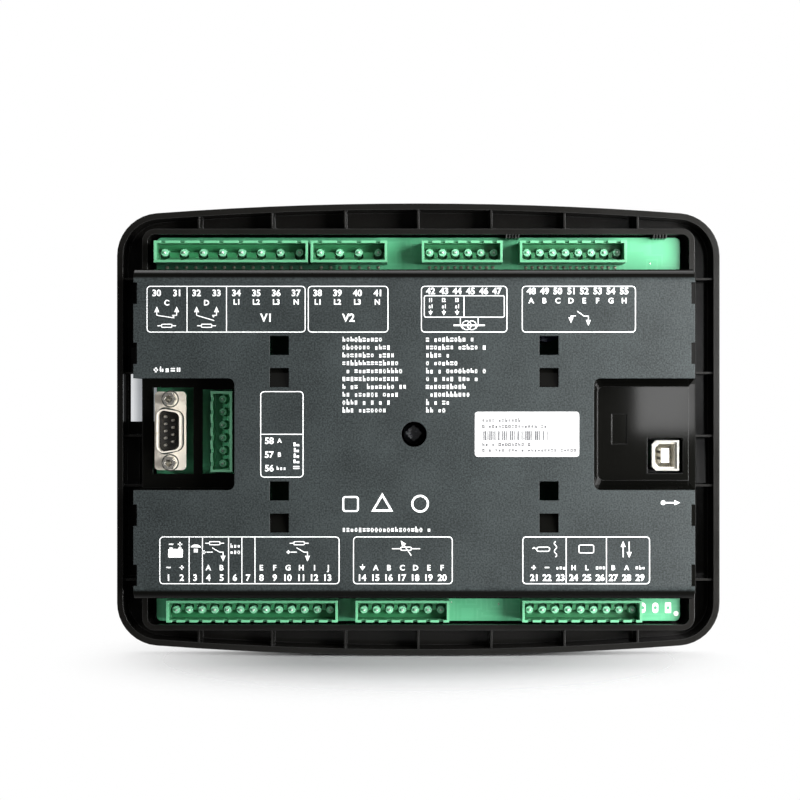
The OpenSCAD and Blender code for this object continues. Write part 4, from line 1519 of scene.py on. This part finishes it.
class WiringSketch(Sketch):
    """A sketch that knows the frames and wiring symbols of the cover's print."""

    corner = 1.3

    def frame(self, u0: float, u1: float, span: Point, dividers: Sequence[float] = ()) -> None:
        """Draws one group's frame.

        Args:
            u0: Left edge.
            u1: Right edge.
            span: Lower and upper edge.
            dividers: Places of the lines across it.
        """
        self.stroke(rounded_box(u0, u1, *span, self.corner), closed=True)
        inner = self.line / 2
        for u in dividers:
            self.stroke([(u, span[0] + inner), (u, span[1] - inner)])

    def fuse(self, u: float, v: float, reach: float = 3.6) -> None:
        """Draws a fuse, centred.

        Args:
            u: Its middle.
            v: Its middle.
            reach: Where its leads end.
        """
        self.stroke(rounded_box(u - 2.0, u + 2.0, v - 0.6, v + 0.6, 0.3, 2), closed=True)
        for side in (-1, 1):
            self.stroke([(u + side * 2.2, v), (u + side * reach, v)])

    def two_way_contact(self, u0: float, u1: float, v: float, is_open: bool) -> None:
        """Draws a contact between two terminals above it.

        Args:
            u0: Left terminal.
            u1: Right terminal.
            v: Height of the arrow tips.
            is_open: True for an open blade.
        """
        low = v - 3.4
        for u in (u0, u1):
            self.arrow(u, v, 0, 1)
            self.stroke([(u, v - 2.0), (u, low)])
        self.stroke([(u0, low), (u1 - 0.9, low - (2.0 if is_open else 1.0))])
        self.stroke([(u1, low), (u1 - 1.7, low)])
        self.arrow(u1 - 1.2, low - 0.9, 0, -1, 0.9, 1.2)

    def output_contact(self, u: float, v: float) -> None:
        """Draws a fused output.

        Args:
            u: Where its arrow ends.
            v: Where its arrow ends.
        """
        self.fuse(u - 3.2, v + 7.0)
        self.arrow(u, v, 0, -1)
        self.stroke([(u, v + 2.0), (u, v + 3.6), (u - 1.4, v + 3.6), (u - 4.2, v + 5.3)])
        self.stroke([(u - 4.0, v + 3.6), (u - 6.4, v + 3.6)])
        self.sign(u - 7.3, v + 3.6, True, 0.7)

    def input_contact(self, u: float, v: float) -> None:
        """Draws an open input contact.

        Args:
            u: Its middle.
            v: Height of its blade, above the arrow tips.
        """
        self.arrow(u - 3.3, v - 2.7, 0, -1)
        self.stroke([(u - 3.3, v - 0.8), (u - 3.3, v), (u - 1.4, v + 0.1)])
        self.arrow(u + 3.4, v - 3.7, 0, -1)
        self.stroke([(u + 3.4, v - 1.8), (u + 3.4, v), (u + 1.8, v), (u - 0.9, v + 1.9)])

    def battery(self, u: float, v: float) -> None:
        """Draws a filled battery, centred.

        Args:
            u: Its middle.
            v: Its middle.
        """
        self.polygon(rounded_box(u - 2.8, u + 2.8, v - 1.8, v + 1.5, 0.3, 2))
        for side in (-1, 1):
            self.block(u + side * 1.7 - 0.6, u + side * 1.7 + 0.6, v + 1.5, v + 2.1)
        self.sign(u - 1.7, v + 3.3, False)
        self.sign(u + 1.7, v + 3.3, True)

    def measuring_coil(self, u: float, v: float) -> None:
        """Draws a measuring transformer over its conductor, centred.

        Args:
            u: Its middle.
            v: Its middle.
        """
        self.stroke([(u - 6.0, v), (u + 6.0, v)], 0.6)
        for shift in (-1.0, 1.0):
            self.stroke(circle(u + shift, v, 1.7), closed=True)
        for side in (-1, 1):
            self.stroke([(u + side * 3.4, v + 2.8), (u + side * 3.4, v), (u + side * 2.4, v - 1.4)])

    def variable_resistor(self, u: float, v: float) -> None:
        """Draws a variable resistor, centred.

        Args:
            u: Its middle.
            v: Its middle.
        """
        self.fuse(u, v, 5.4)
        self.stroke([(u + 2.0, v - 2.6), (u - 1.2, v + 2.0)])
        self.arrow(u - 2.0, v + 3.1, -0.57, 0.82)

    def pickup(self, u: float, v: float) -> None:
        """Draws a probe with its waves, centred.

        Args:
            u: Its middle.
            v: Its middle.
        """
        self.stroke(rounded_box(u - 3.0, u + 2.0, v - 0.8, v + 0.8, 0.75, 3), closed=True)
        self.stroke([(u - 4.6, v + 0.2), (u - 4.0, v + 0.7), (u - 3.2, v)])
        self.stroke([(u + 4.2 + 0.5 * math.sin(i * 1.05), v - 3.0 + 0.5 * i) for i in range(13)])


@dataclass
class CoverPrint:
    """White print on the rear cover: frames, terminal numbers and wiring symbols."""

    level: float = -26.0
    thickness: float = 0.04
    number_cap: float = 2.5
    letter_cap: float = 2.1
    small_cap: float = 1.9
    group_cap: float = 3.1
    coil_cap: float = 1.5
    side_cap: float = 1.7
    upper_numbers: float = 52.75
    upper_letters: float = 49.3
    right_numbers: float = 53.5
    right_letters: float = 49.8
    lower_numbers: float = -56.2
    lower_letters: float = -52.4
    upper_span: Point = (37.7, 55.2)
    lower_span: Point = (-58.6, -40.7)
    glyph: Triple = (1.25, 0.05, 2.25)
    tall_glyph: Triple = (1.75, 0.05, 2.5)
    bus_glyph: Triple = (1.05, 0.05, 1.6)
    supply_glyph: Triple = (1.1, 0.05, 1.8)
    glyph_least: Triple = (0.8, 1.0, 0.78)
    glyph_pitch: float = 1.24
    glyph_sink: float = 0.02
    glyph_gaps: float = 0.13
    row_top: float = 35.0
    row_step: float = 3.01
    left_column: float = -29.4
    right_column: float = 2.6
    sketch: WiringSketch = field(default_factory=WiringSketch)
    marks: GlyphRow = field(default_factory=lambda: GlyphRow("sign_row"))

    def numbers(
        self,
        header: Header,
        v: float,
        letters: Sequence[str] = (),
        letter_v: float = 0.0,
        cap: float | None = None,
    ) -> None:
        """Prints a header's numbers with a letter by each.

        Args:
            header: The header.
            v: Height of the numbers.
            letters: One string for each terminal, empty to leave it bare.
            letter_v: Height of the letters.
            cap: Height of the letters' capitals, or None for the usual one.
        """
        for i, shift in enumerate(header.offsets()):
            self.sketch.text(str(header.first + i), header.x + shift, v, self.number_cap)
            mark = letters[i] if i < len(letters) else ""
            if mark in ("+", "-"):
                self.sketch.sign(header.x + shift, letter_v, mark == "+")
            elif mark:
                self.sketch.text(mark, header.x + shift, letter_v, cap or self.letter_cap)

    def upper_groups(self) -> None:
        """Draws the groups over the upper headers."""
        s = self.sketch
        _, _, _, generator, mains, current, inputs, _ = HEADERS
        s.frame(-104.1, -43.6, self.upper_span, (-88.8, -73.7))
        phases = ("L1", "L2", "L3", "N")
        self.numbers(generator, self.upper_numbers, ("", "", "", "", *phases), self.upper_letters)
        places = [generator.x + shift for shift in generator.offsets()]
        for letter, left, is_open in (("C", 0, False), ("D", 2, True)):
            u0, u1 = places[left], places[left + 1]
            s.text(letter, (u0 + u1) / 2, 49.0, self.letter_cap)
            s.two_way_contact(u0, u1, 47.5, is_open)
            s.fuse((u0 + u1) / 2, 40.1)
        s.text("V1", -58.8, 43.3, self.group_cap)
        s.frame(-42.4, -11.9, self.upper_span)
        self.numbers(mains, self.upper_numbers, phases, self.upper_letters)
        s.text("V2", -27.1, 43.3, self.group_cap)
        s.frame(0.9, 33.6, self.upper_span)
        self.numbers(current, self.right_numbers)
        s.stroke(rounded_box(2.0, 32.6, 43.4, 51.6, 0.6), closed=True)
        s.stroke([(17.2, 43.6), (17.2, 51.4)])
        for i in range(3):
            u = current.x + current.offsets()[i]
            s.text("I%d" % (i + 1), u, 50.0, self.coil_cap)
            s.text("s1", u, 47.6, self.coil_cap)
            s.arrow(u, 44.1, 0, -1, 1.5, 1.7)
            s.stroke([(u, 45.4), (u, 46.2)])
        s.measuring_coil(19.2, 40.3)
        s.frame(39.5, 82.8, self.upper_span)
        self.numbers(inputs, self.right_numbers, "ABCDEFGH", self.right_letters)
        s.input_contact(61.4, 43.8)

    def lower_groups(self) -> None:
        """Draws the groups over the lower headers."""
        s = self.sketch
        supply, sender, bus = HEADERS[:3]
        s.frame(-99.2, -30.6, self.lower_span, (-88.0, -82.9, -72.9, -67.8, -62.8))
        marks = ("-", "+", "", "A", "B", "", "", *"EFGHIJ")
        self.numbers(supply, self.lower_numbers, marks, self.lower_letters)
        s.battery(-93.2, -46.8)
        s.polygon([(-85.45 + 2.0 * math.cos(a / 5), -44.8 + 1.2 * math.sin(a / 5)) for a in range(16)])
        s.block(-86.2, -84.7, -46.6, -45.2)
        s.output_contact(-75.0, -50.1)
        s.output_contact(-42.7, -50.1)
        s.frame(-25.1, 12.7, self.lower_span)
        self.numbers(sender, self.lower_numbers, ("", *"ABCDEF"), self.lower_letters)
        ground = sender.x + sender.offsets()[0]
        s.arrow(ground, -53.6, 0, -1, 1.6, 2.2)
        s.stroke([(ground, -52.2), (ground, -51.1)])
        s.variable_resistor(-5.0, -45.2)
        s.frame(39.7, 88.2, self.lower_span, (56.3, 71.7))
        marks = ("+", "-", "", "H", "L", "", "B", "A", "")
        self.numbers(bus, self.lower_numbers, marks, self.lower_letters, self.small_cap)
        s.pickup(48.0, -45.4)
        s.stroke(rounded_box(61.2, 66.8, -46.8, -43.8, 0.5, 3), closed=True)
        for u, way in ((78.1, 1), (80.4, -1)):
            s.arrow(u, -45.5 + way * 3.2, 0, way)
            s.stroke([(u, -45.5 + way * 1.2), (u, -45.5 - way * 3.0)])

    def side_group(self) -> None:
        """Draws the group beside the left bay, and the plain marks."""
        s = self.sketch
        s.frame(-60.6, -44.4, (-17.8, 14.9))
        s.stroke([(-60.4, -1.4), (-44.6, -1.4)])
        for number, v, letter in ((58, -3.8, "A"), (57, -9.1, "B"), (56, -14.3, "")):
            s.text(str(number), -57.3, v, self.number_cap)
            if letter:
                s.text(letter, -53.4, v, self.side_cap)
        s.stroke(rounded_box(-29.0, -23.4, -30.8, -25.4, 0.8), 0.7, True)
        s.stroke([(-17.6, -30.6), (-10.6, -30.6), (-14.1, -24.6)], 0.8, True)
        s.stroke(circle(0.4, -28.0, 3.0), 0.8, True)
        for u0, u1 in ((94.2, 97.6), (98.6, 98.2)):
            s.stroke([(u0, -27.6), (u1, -27.6)], 0.5)
        s.arrow(99.9, -27.6, 1, 0)
        s.polygon(circle(93.4, -27.6, 0.9))

    def greeked(
        self,
        u: float,
        v: float,
        length: float,
        seed: int,
        glyph: Triple,
        gaps: float = 0.0,
        turned: bool = False,
    ) -> bpy.types.Mesh:
        """Grows one line of unreadable print.

        Args:
            u: Left end, or middle where it is turned.
            v: Middle of the line, or lower end where it is turned.
            length: Length of the line.
            seed: Fixed seed.
            glyph: Size of a mark.
            gaps: Share of marks that are left out.
            turned: True for a line that runs upwards.

        Returns:
            A mesh.
        """
        step = glyph[0] * self.glyph_pitch
        size, least = (tuple(t[::-1]) if turned else t for t in (glyph, self.glyph_least))
        y = self.level - self.glyph_sink
        at = (u, y, v + size[0] / 2) if turned else (u + size[0] / 2, y, v)
        values = {
            "Count": max(2, round(length / step)),
            "Start": tuple(c * MM for c in at),
            "Step": (0.0, 0.0, step * MM) if turned else (step * MM, 0.0, 0.0),
            "Finish": Kit.ink.material(),
            "Size": tuple(c * MM for c in size),
            "Least": least,
            "Gaps": gaps,
            "Seed": seed,
        }
        return self.marks.grow("words", values)

    def words(self) -> list[bpy.types.Mesh]:
        """Grows every line of unreadable print.

        Returns:
            A mesh for each line.
        """
        left = (15.9, 18.5, 20.2, 21.5, 23.6, 24.0, 24.2, 22.0, 19.2, 17.0)
        right = (18.3, 24.8, 9.6, 12.4, 25.0, 20.5, 16.3, 17.0, 9.6, 8.3)
        rows = []
        for u, lengths, seed in ((self.left_column, left, 7), (self.right_column, right, 38)):
            for i, length in enumerate(lengths):
                v = self.row_top - self.row_step * i
                rows.append(self.greeked(u, v, length, seed + i, self.glyph, self.glyph_gaps))
        rows.append(self.greeked(self.left_column, -37.8, 34.0, 91, self.glyph, self.glyph_gaps))
        rows.append(self.greeked(-101.6, 23.5, 10.9, 92, self.tall_glyph))
        rows.append(self.greeked(-47.0, -15.2, 10.9, 93, self.tall_glyph, turned=True))
        for u, v in ((52.6, -52.4), (67.8, -52.4), (83.0, -52.4), (-54.4, -14.3)):
            rows.append(self.greeked(u - 0.2, v, 4.0, int(97 + u), self.bus_glyph))
        for v in (-44.0, -46.4):
            rows.append(self.greeked(-72.3, v, 4.2, int(55 - v), self.supply_glyph))
        return rows

    def build(self) -> None:
        """Builds the print."""
        self.upper_groups()
        self.lower_groups()
        self.side_group()
        mesh = self.sketch.mesh("cover_print", Side.REAR, flat(self.level), self.thickness)
        place_mesh(mesh, Kit.ink, HOUSING)
        place_mesh(joined("cover_text", self.words()), Kit.ink, HOUSING)


@dataclass(frozen=True)
class Mark:
    """One kind of mark on the label: its spacing, size, least share of that size, and share of gaps."""

    step: float
    size: Triple
    least: Triple
    gaps: float


@dataclass
class RatingLabelPrint:
    """Grey lines and a field of stripes on the white label, with nothing to read."""

    level: float = -26.12
    sink: float = 0.01
    left: float = 24.6
    stripe: Mark = Mark(0.74, (0.62, 0.03, 3.5), (0.3, 1.0, 1.0), 0.14)
    stripe_v: float = -1.95
    stripe_count: int = 34
    stripe_seed: int = 5
    sign: Mark = Mark(1.25, (1.0, 0.03, 1.5), (0.8, 1.0, 0.8), 0.12)
    sign_lines: tuple[tuple[float, int], ...] = ((4.0, 12), (1.7, 20), (-5.2, 15), (-7.4, 29))
    sign_seed: int = 40
    stripes: MarkRow = field(default_factory=lambda: MarkRow("stripe_row"))
    signs: GlyphRow = field(default_factory=lambda: GlyphRow("label_sign_row"))

    def line(self, tree: MarkRow, mark: Mark, v: float, count: int, seed: int) -> bpy.types.Mesh:
        """Grows one line of marks.

        Args:
            tree: The tree that grows it.
            mark: The kind of mark.
            v: Middle of the line.
            count: Number of marks.
            seed: Fixed seed.

        Returns:
            A mesh.
        """
        values = {
            "Count": count,
            "Start": tuple(c * MM for c in (self.left, self.level - self.sink, v)),
            "Step": (mark.step * MM, 0.0, 0.0),
            "Finish": Kit.grey_ink.material(),
            "Size": tuple(c * MM for c in mark.size),
            "Least": mark.least,
            "Gaps": mark.gaps,
            "Seed": seed,
        }
        return tree.grow("label_line", values)

    def build(self) -> None:
        """Builds the label's print."""
        rows = [self.line(self.stripes, self.stripe, self.stripe_v, self.stripe_count, self.stripe_seed)]
        for i, (v, count) in enumerate(self.sign_lines):
            rows.append(self.line(self.signs, self.sign, v, count, self.sign_seed + i))
        place_mesh(joined("label_print", rows), Kit.grey_ink, HOUSING)


@dataclass(frozen=True)
class Key:
    """A push key of the front, in the solids' places, in millimetres of row X and Z."""

    name: str
    x: float
    z: float
    r: float
    top: float = 16.0
    lip: float = 1.2
    hollow: float = 0.35

    def dish(self, u: float, v: float) -> float:
        """Row Y of the dished cap, from a place as seen from the front."""
        off = math.hypot(-u - self.x, v - self.z)
        return self.top - self.hollow * max(0.0, 1.0 - off / (self.r - self.lip))


CONTROL_NAMES = ("stop", "manual", "test", "auto", "mute", "start")
KEYS = (
    *(Key(name, 75.0 - 30.0 * i, -58.0, 6.5) for i, name in enumerate(CONTROL_NAMES)),
    Key("open", 24.0, -26.0, 6.5),
    Key("close", -24.0, -26.0, 6.5),
    Key("enter", 74.0, 34.0, 5.0),
    Key("up", 74.0, 48.0, 5.0),
    Key("down", 74.0, 20.0, 5.0),
    Key("left", 88.0, 34.0, 5.0),
    Key("right", 60.0, 34.0, 5.0),
)


@dataclass
class FrontPrint:
    """Print on the front film, the key caps, the display and the text card."""

    film_level: float = 15.0
    display_level: float = 12.15
    card_level: float = 12.4
    thickness: float = 0.04
    thin: float = 0.03

    def key_mark(self, key: Key) -> None:
        """Prints one key's symbol on its dished cap.

        Args:
            key: The key.
        """
        s = Sketch()
        u, v = -key.x, key.z
        arrows = {"up": (0, 1), "down": (0, -1), "left": (-1, 0), "right": (1, 0)}
        if key.name in arrows:
            du, dv = arrows[key.name]
            s.arrow(u + 1.6 * du, v + 1.6 * dv, du, dv, 3.0, 3.8)
        elif key.name == "enter":
            s.stroke([(u - 1.9, v + 0.1), (u - 0.5, v - 1.5), (u + 2.1, v + 1.7)], 0.8)
        elif key.name == "stop":
            s.stroke(circle(u, v, 2.6), 0.9, True)
        elif key.name == "start":
            s.block(u - 0.5, u + 0.5, v - 2.8, v + 2.8)
        elif key.name == "manual":
            s.stroke(rounded_box(u - 2.4, u + 2.4, v - 2.4, v + 2.4, 0.6), 0.7, True)
            s.polygon(circle(u, v, 0.9))
        elif key.name == "test":
            s.stroke([(u - 2.0, v - 2.5), (u + 2.6, v), (u - 2.0, v + 2.5)], 0.8, True)
        elif key.name == "auto":
            s.stroke(circle(u, v, 2.6, 20)[2:], 0.8)
            s.arrow(u + 3.2, v + 1.7, 0.2, 0.98, 2.2, 2.4)
        elif key.name == "mute":
            s.polygon([(u - 2.4, v - 1.0), (u - 1.0, v - 1.0), (u + 0.6, v - 2.4), (u + 0.6, v + 2.4),
                       (u - 1.0, v + 1.0), (u - 2.4, v + 1.0)])
            s.stroke([(u + 1.6, v - 1.2), (u + 3.2, v + 1.2)], 0.6)
            s.stroke([(u + 1.6, v + 1.2), (u + 3.2, v - 1.2)], 0.6)
        else:
            lift = 2.2 if key.name == "open" else 0.0
            s.stroke([(u - 3.4, v), (u - 1.6, v), (u + 1.5, v + lift)], 0.7)
            s.stroke([(u + 1.6, v), (u + 3.4, v)], 0.7)
        mesh = s.mesh(key.name + "_key_mark", Side.FRONT, key.dish, self.thickness)
        place_mesh(mesh, Kit.ink, key.name + "_key")

    def film(self) -> None:
        """Prints the film: its border, the display's surround, key rings and the supply diagram."""
        white, dark = Sketch(), Sketch()
        white.stroke(rounded_box(-95.4, 95.4, -68.4, 68.4, 6.0), 0.5, True)
        dark.ring(rounded_box(-51.0, 51.0, 7.0, 65.0, 6.0), rounded_box(-46.2, 46.2, 11.8, 60.2, 3.2))
        white.stroke(rounded_box(-51.4, 51.4, 6.6, 65.4, 6.3), 0.4, True)
        white.stroke(rounded_box(63.2, 88.8, 3.2, 32.8, 2.0), 0.5, True)
        white.stroke(circle(-74.0, 34.0, 20.2, 48), 0.4, True)
        colours = {"stop": Sketch(), "start": Sketch()}
        for key in KEYS[:8]:
            target = colours.get(key.name, white)
            target.stroke(circle(-key.x, key.z, key.r + 2.2, 40), 0.7, True)
            white.stroke([(-key.x - 3.4, key.z + 15.0), (-key.x + 3.4, key.z + 15.0)], 0.5)
        v = -26.0
        for u0, u1 in ((-62.0, -33.4), (-14.6, 14.6), (33.4, 62.0)):
            white.stroke([(u0, v), (u1, v)], 0.9)
        for u in (-67.0, 67.0):
            white.stroke(circle(u, v, 5.0, 32), 0.8, True)
            white.stroke([(u - 2.6 + 0.52 * i, v + 1.5 * math.sin(i * math.pi / 5)) for i in range(11)], 0.6)
        white.stroke([(0.0, v - 0.4), (0.0, v - 8.0)], 0.9)
        white.arrow(0.0, v - 11.0, 0, -1, 3.2, 3.4)
        pieces = (
            ("overlay_print", white, Kit.ink, "label_film"),
            ("overlay_surround", dark, Kit.dark_ink, "black_nylon"),
            ("stop_ring", colours["stop"], Kit.red_ink, "key_red"),
            ("start_ring", colours["start"], Kit.green_ink, "key_green"),
        )
        for name, sketch, finish, slot in pieces:
            mesh = sketch.mesh(name, Side.FRONT, flat(self.film_level), self.thickness)
            place_mesh(mesh, finish, HOUSING)

    def display(self) -> None:
        """Draws the display's fields: a title bar, four plain lines and a gauge."""
        s = Sketch()
        s.block(-42.0, 42.0, 51.5, 56.5)
        for i, width in enumerate((52.0, 44.0, 60.0, 36.0)):
            v = 45.0 - 7.2 * i
            for j in range(int(width // 4)):
                s.block(-42.0 + 4 * j, -39.2 + 4 * j, v - 1.8, v + (1.8 if (i + j) % 3 else 0.9))
        s.stroke(rounded_box(24.0, 42.0, 18.0, 47.0, 1.2), 0.6, True)
        s.block(26.0, 40.0, 20.0, 33.0)
        mesh = s.mesh("display_fields", Side.FRONT, flat(self.display_level), self.thin)
        place_mesh(mesh, Kit.dark_ink, HOUSING)

    def card(self) -> None:
        """Draws the four plain lines of the text card."""
        s = Sketch()
        for i in range(4):
            v = 18.0 + (i - 1.5) * 7.5
            s.block(66.0, 66.0 + (17.0, 14.0, 18.5, 12.0)[i], v - 0.9, v + 0.9)
        mesh = s.mesh("card_lines", Side.FRONT, flat(self.card_level), self.thin)
        place_mesh(mesh, Kit.grey_ink, HOUSING)

    def build(self) -> None:
        """Builds all of the front's print."""
        for key in KEYS:
            self.key_mark(key)
        self.film()
        self.display()
        self.card()


# Studio


@dataclass(frozen=True)
class SoftBox:
    """An area lamp: its place and aim in metres, its width and height, and its power in watts."""

    name: str
    spot: Triple
    aim: Triple
    size: Point
    power: float
    mirrored: bool = True

    def build(self) -> None:
        """Adds the lamp, which glossy surfaces show only where it is mirrored."""
        data = bpy.data.lights.new(self.name, "AREA")
        data.shape = "RECTANGLE"
        data.size, data.size_y = self.size
        data.energy = self.power
        made = bpy.data.objects.new(self.name, data)
        made.location = self.spot
        made.rotation_euler = (Vector(self.aim) - Vector(self.spot)).to_track_quat("-Z", "Y").to_euler()
        made.visible_glossy = self.mirrored
        bpy.context.scene.collection.objects.link(made)


LAMPS = (
    SoftBox("key_box", (0.41, -0.34, 0.03), (0.06, 0.0, 0.0), (0.36, 0.42), 10.8),
    SoftBox("top_box", (-0.1, -0.85, 0.75), (0.0, 0.0, 0.02), (1.0, 0.5), 1.7),
    SoftBox("right_box", (0.2565, -1.0, 0.065), (0.2565, 0.0, 0.065), (0.062, 0.17), 0.278),
    SoftBox("back_box", (0.1, 0.3, 1.1), (0.0, 0.0, -0.09), (1.2, 0.7), 19.0),
    SoftBox("fill_box", (-0.4, -0.5, -0.1), (-0.08, 0.0, 0.0), (0.2, 0.2), 0.75, mirrored=False),
)


@dataclass
class Studio:
    """Floor, lamps, background and the camera at the photograph's place."""

    frame_px: int = 800
    focal_px: float = 1662.0
    camera_spot: Triple = (-7.3, -662.0, 11.7)
    camera_clip: Point = (0.01, 20.0)
    sensor_mm: float = 36.0
    floor_drop: float = 0.0004
    floor_size: float = 4.0
    floor_stretch: float = 0.8
    floor_fade: Point = (0.03, 0.118)
    floor_tone: Colour = (0.51, 0.515, 0.52)
    ambient: float = 0.11
    gloss_ambient: float = 0.03
    behind: Point = (-0.35, 0.35)

    def camera(self) -> None:
        """Sets the camera, level and square to the rear."""
        data = bpy.data.cameras.new("camera")
        data.sensor_width = self.sensor_mm
        data.lens = self.focal_px * self.sensor_mm / self.frame_px
        data.clip_start, data.clip_end = self.camera_clip
        made = bpy.data.objects.new("camera", data)
        made.location = Vector(self.camera_spot) * MM
        made.rotation_euler = (math.pi / 2, 0.0, 0.0)
        bpy.context.scene.collection.objects.link(made)
        bpy.context.scene.camera = made

    def floor(self) -> None:
        """Lays a pale floor under the controller that fades out with distance."""
        low, _ = CAD_BOX
        half = self.floor_size / 2
        z = low.z - self.floor_drop
        corners = [(-half, -half, z), (half, -half, z), (half, half, z), (-half, half, z)]
        mesh = bpy.data.meshes.new("floor")
        mesh.from_pydata(corners, [], [(0, 1, 2, 3)])
        made = bpy.data.objects.new("floor", mesh)
        bpy.context.scene.collection.objects.link(made)
        paint = Paint("floor_pale")
        paint.set(Base_Color=(*self.floor_tone, 1.0), Roughness=0.8, Specular_IOR_Level=0.1)
        level = paint.stretched((self.floor_stretch, 1.0, 0.0))
        far = paint.out("ShaderNodeVectorMath", {0: level}, "Value", operation="LENGTH")
        paint.blend(far.rise(*self.floor_fade), paint.out("ShaderNodeBsdfTransparent"))
        mesh.materials.append(paint.material)

    def world(self) -> None:
        """Sets a white background, plain ambient light, and a dark half behind the camera for gloss."""
        world = bpy.data.worlds.new("studio")
        bpy.context.scene.world = world
        world.use_nodes = True
        graph = Graph(world.node_tree)
        path = graph.node("ShaderNodeLightPath")
        rays = ("Is Camera Ray", "Is Glossy Ray", "Is Transmission Ray")
        camera, glossy, through = (graph.wire(path, key) for key in rays)
        where = graph.out("ShaderNodeTexCoord", output="Generated")
        behind = graph.out("ShaderNodeSeparateXYZ", {0: where}, "Y").rise(*self.behind)
        mirror = glossy.math("MAXIMUM", through)
        seen = self.gloss_ambient + behind * (1.0 - self.gloss_ambient)
        plain = self.ambient + mirror * (seen - self.ambient)
        back = world.node_tree.nodes["Background"]
        back.inputs["Color"].default_value = (1.0, 1.0, 1.0, 1.0)
        graph.feed(back.inputs["Strength"], plain + camera * (1.0 - plain))

    def build(self) -> None:
        """Builds the studio."""
        self.camera()
        self.floor()
        self.world()
        for lamp in LAMPS:
            lamp.build()
        bpy.context.scene.view_settings.view_transform = "Standard"


def main() -> None:
    """Builds the controller's looks in order."""
    logging.basicConfig(level=logging.INFO, format="%(message)s")
    CadFinishes(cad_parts).dress()
    for group in (TerminalDetail(), SerialSeam(), CoverPrint(), RatingLabelPrint(), FrontPrint()):
        group.build()
        LOG.info("built %s", type(group).__name__)
    Studio().build()


if __name__ == "__main__":
    main()
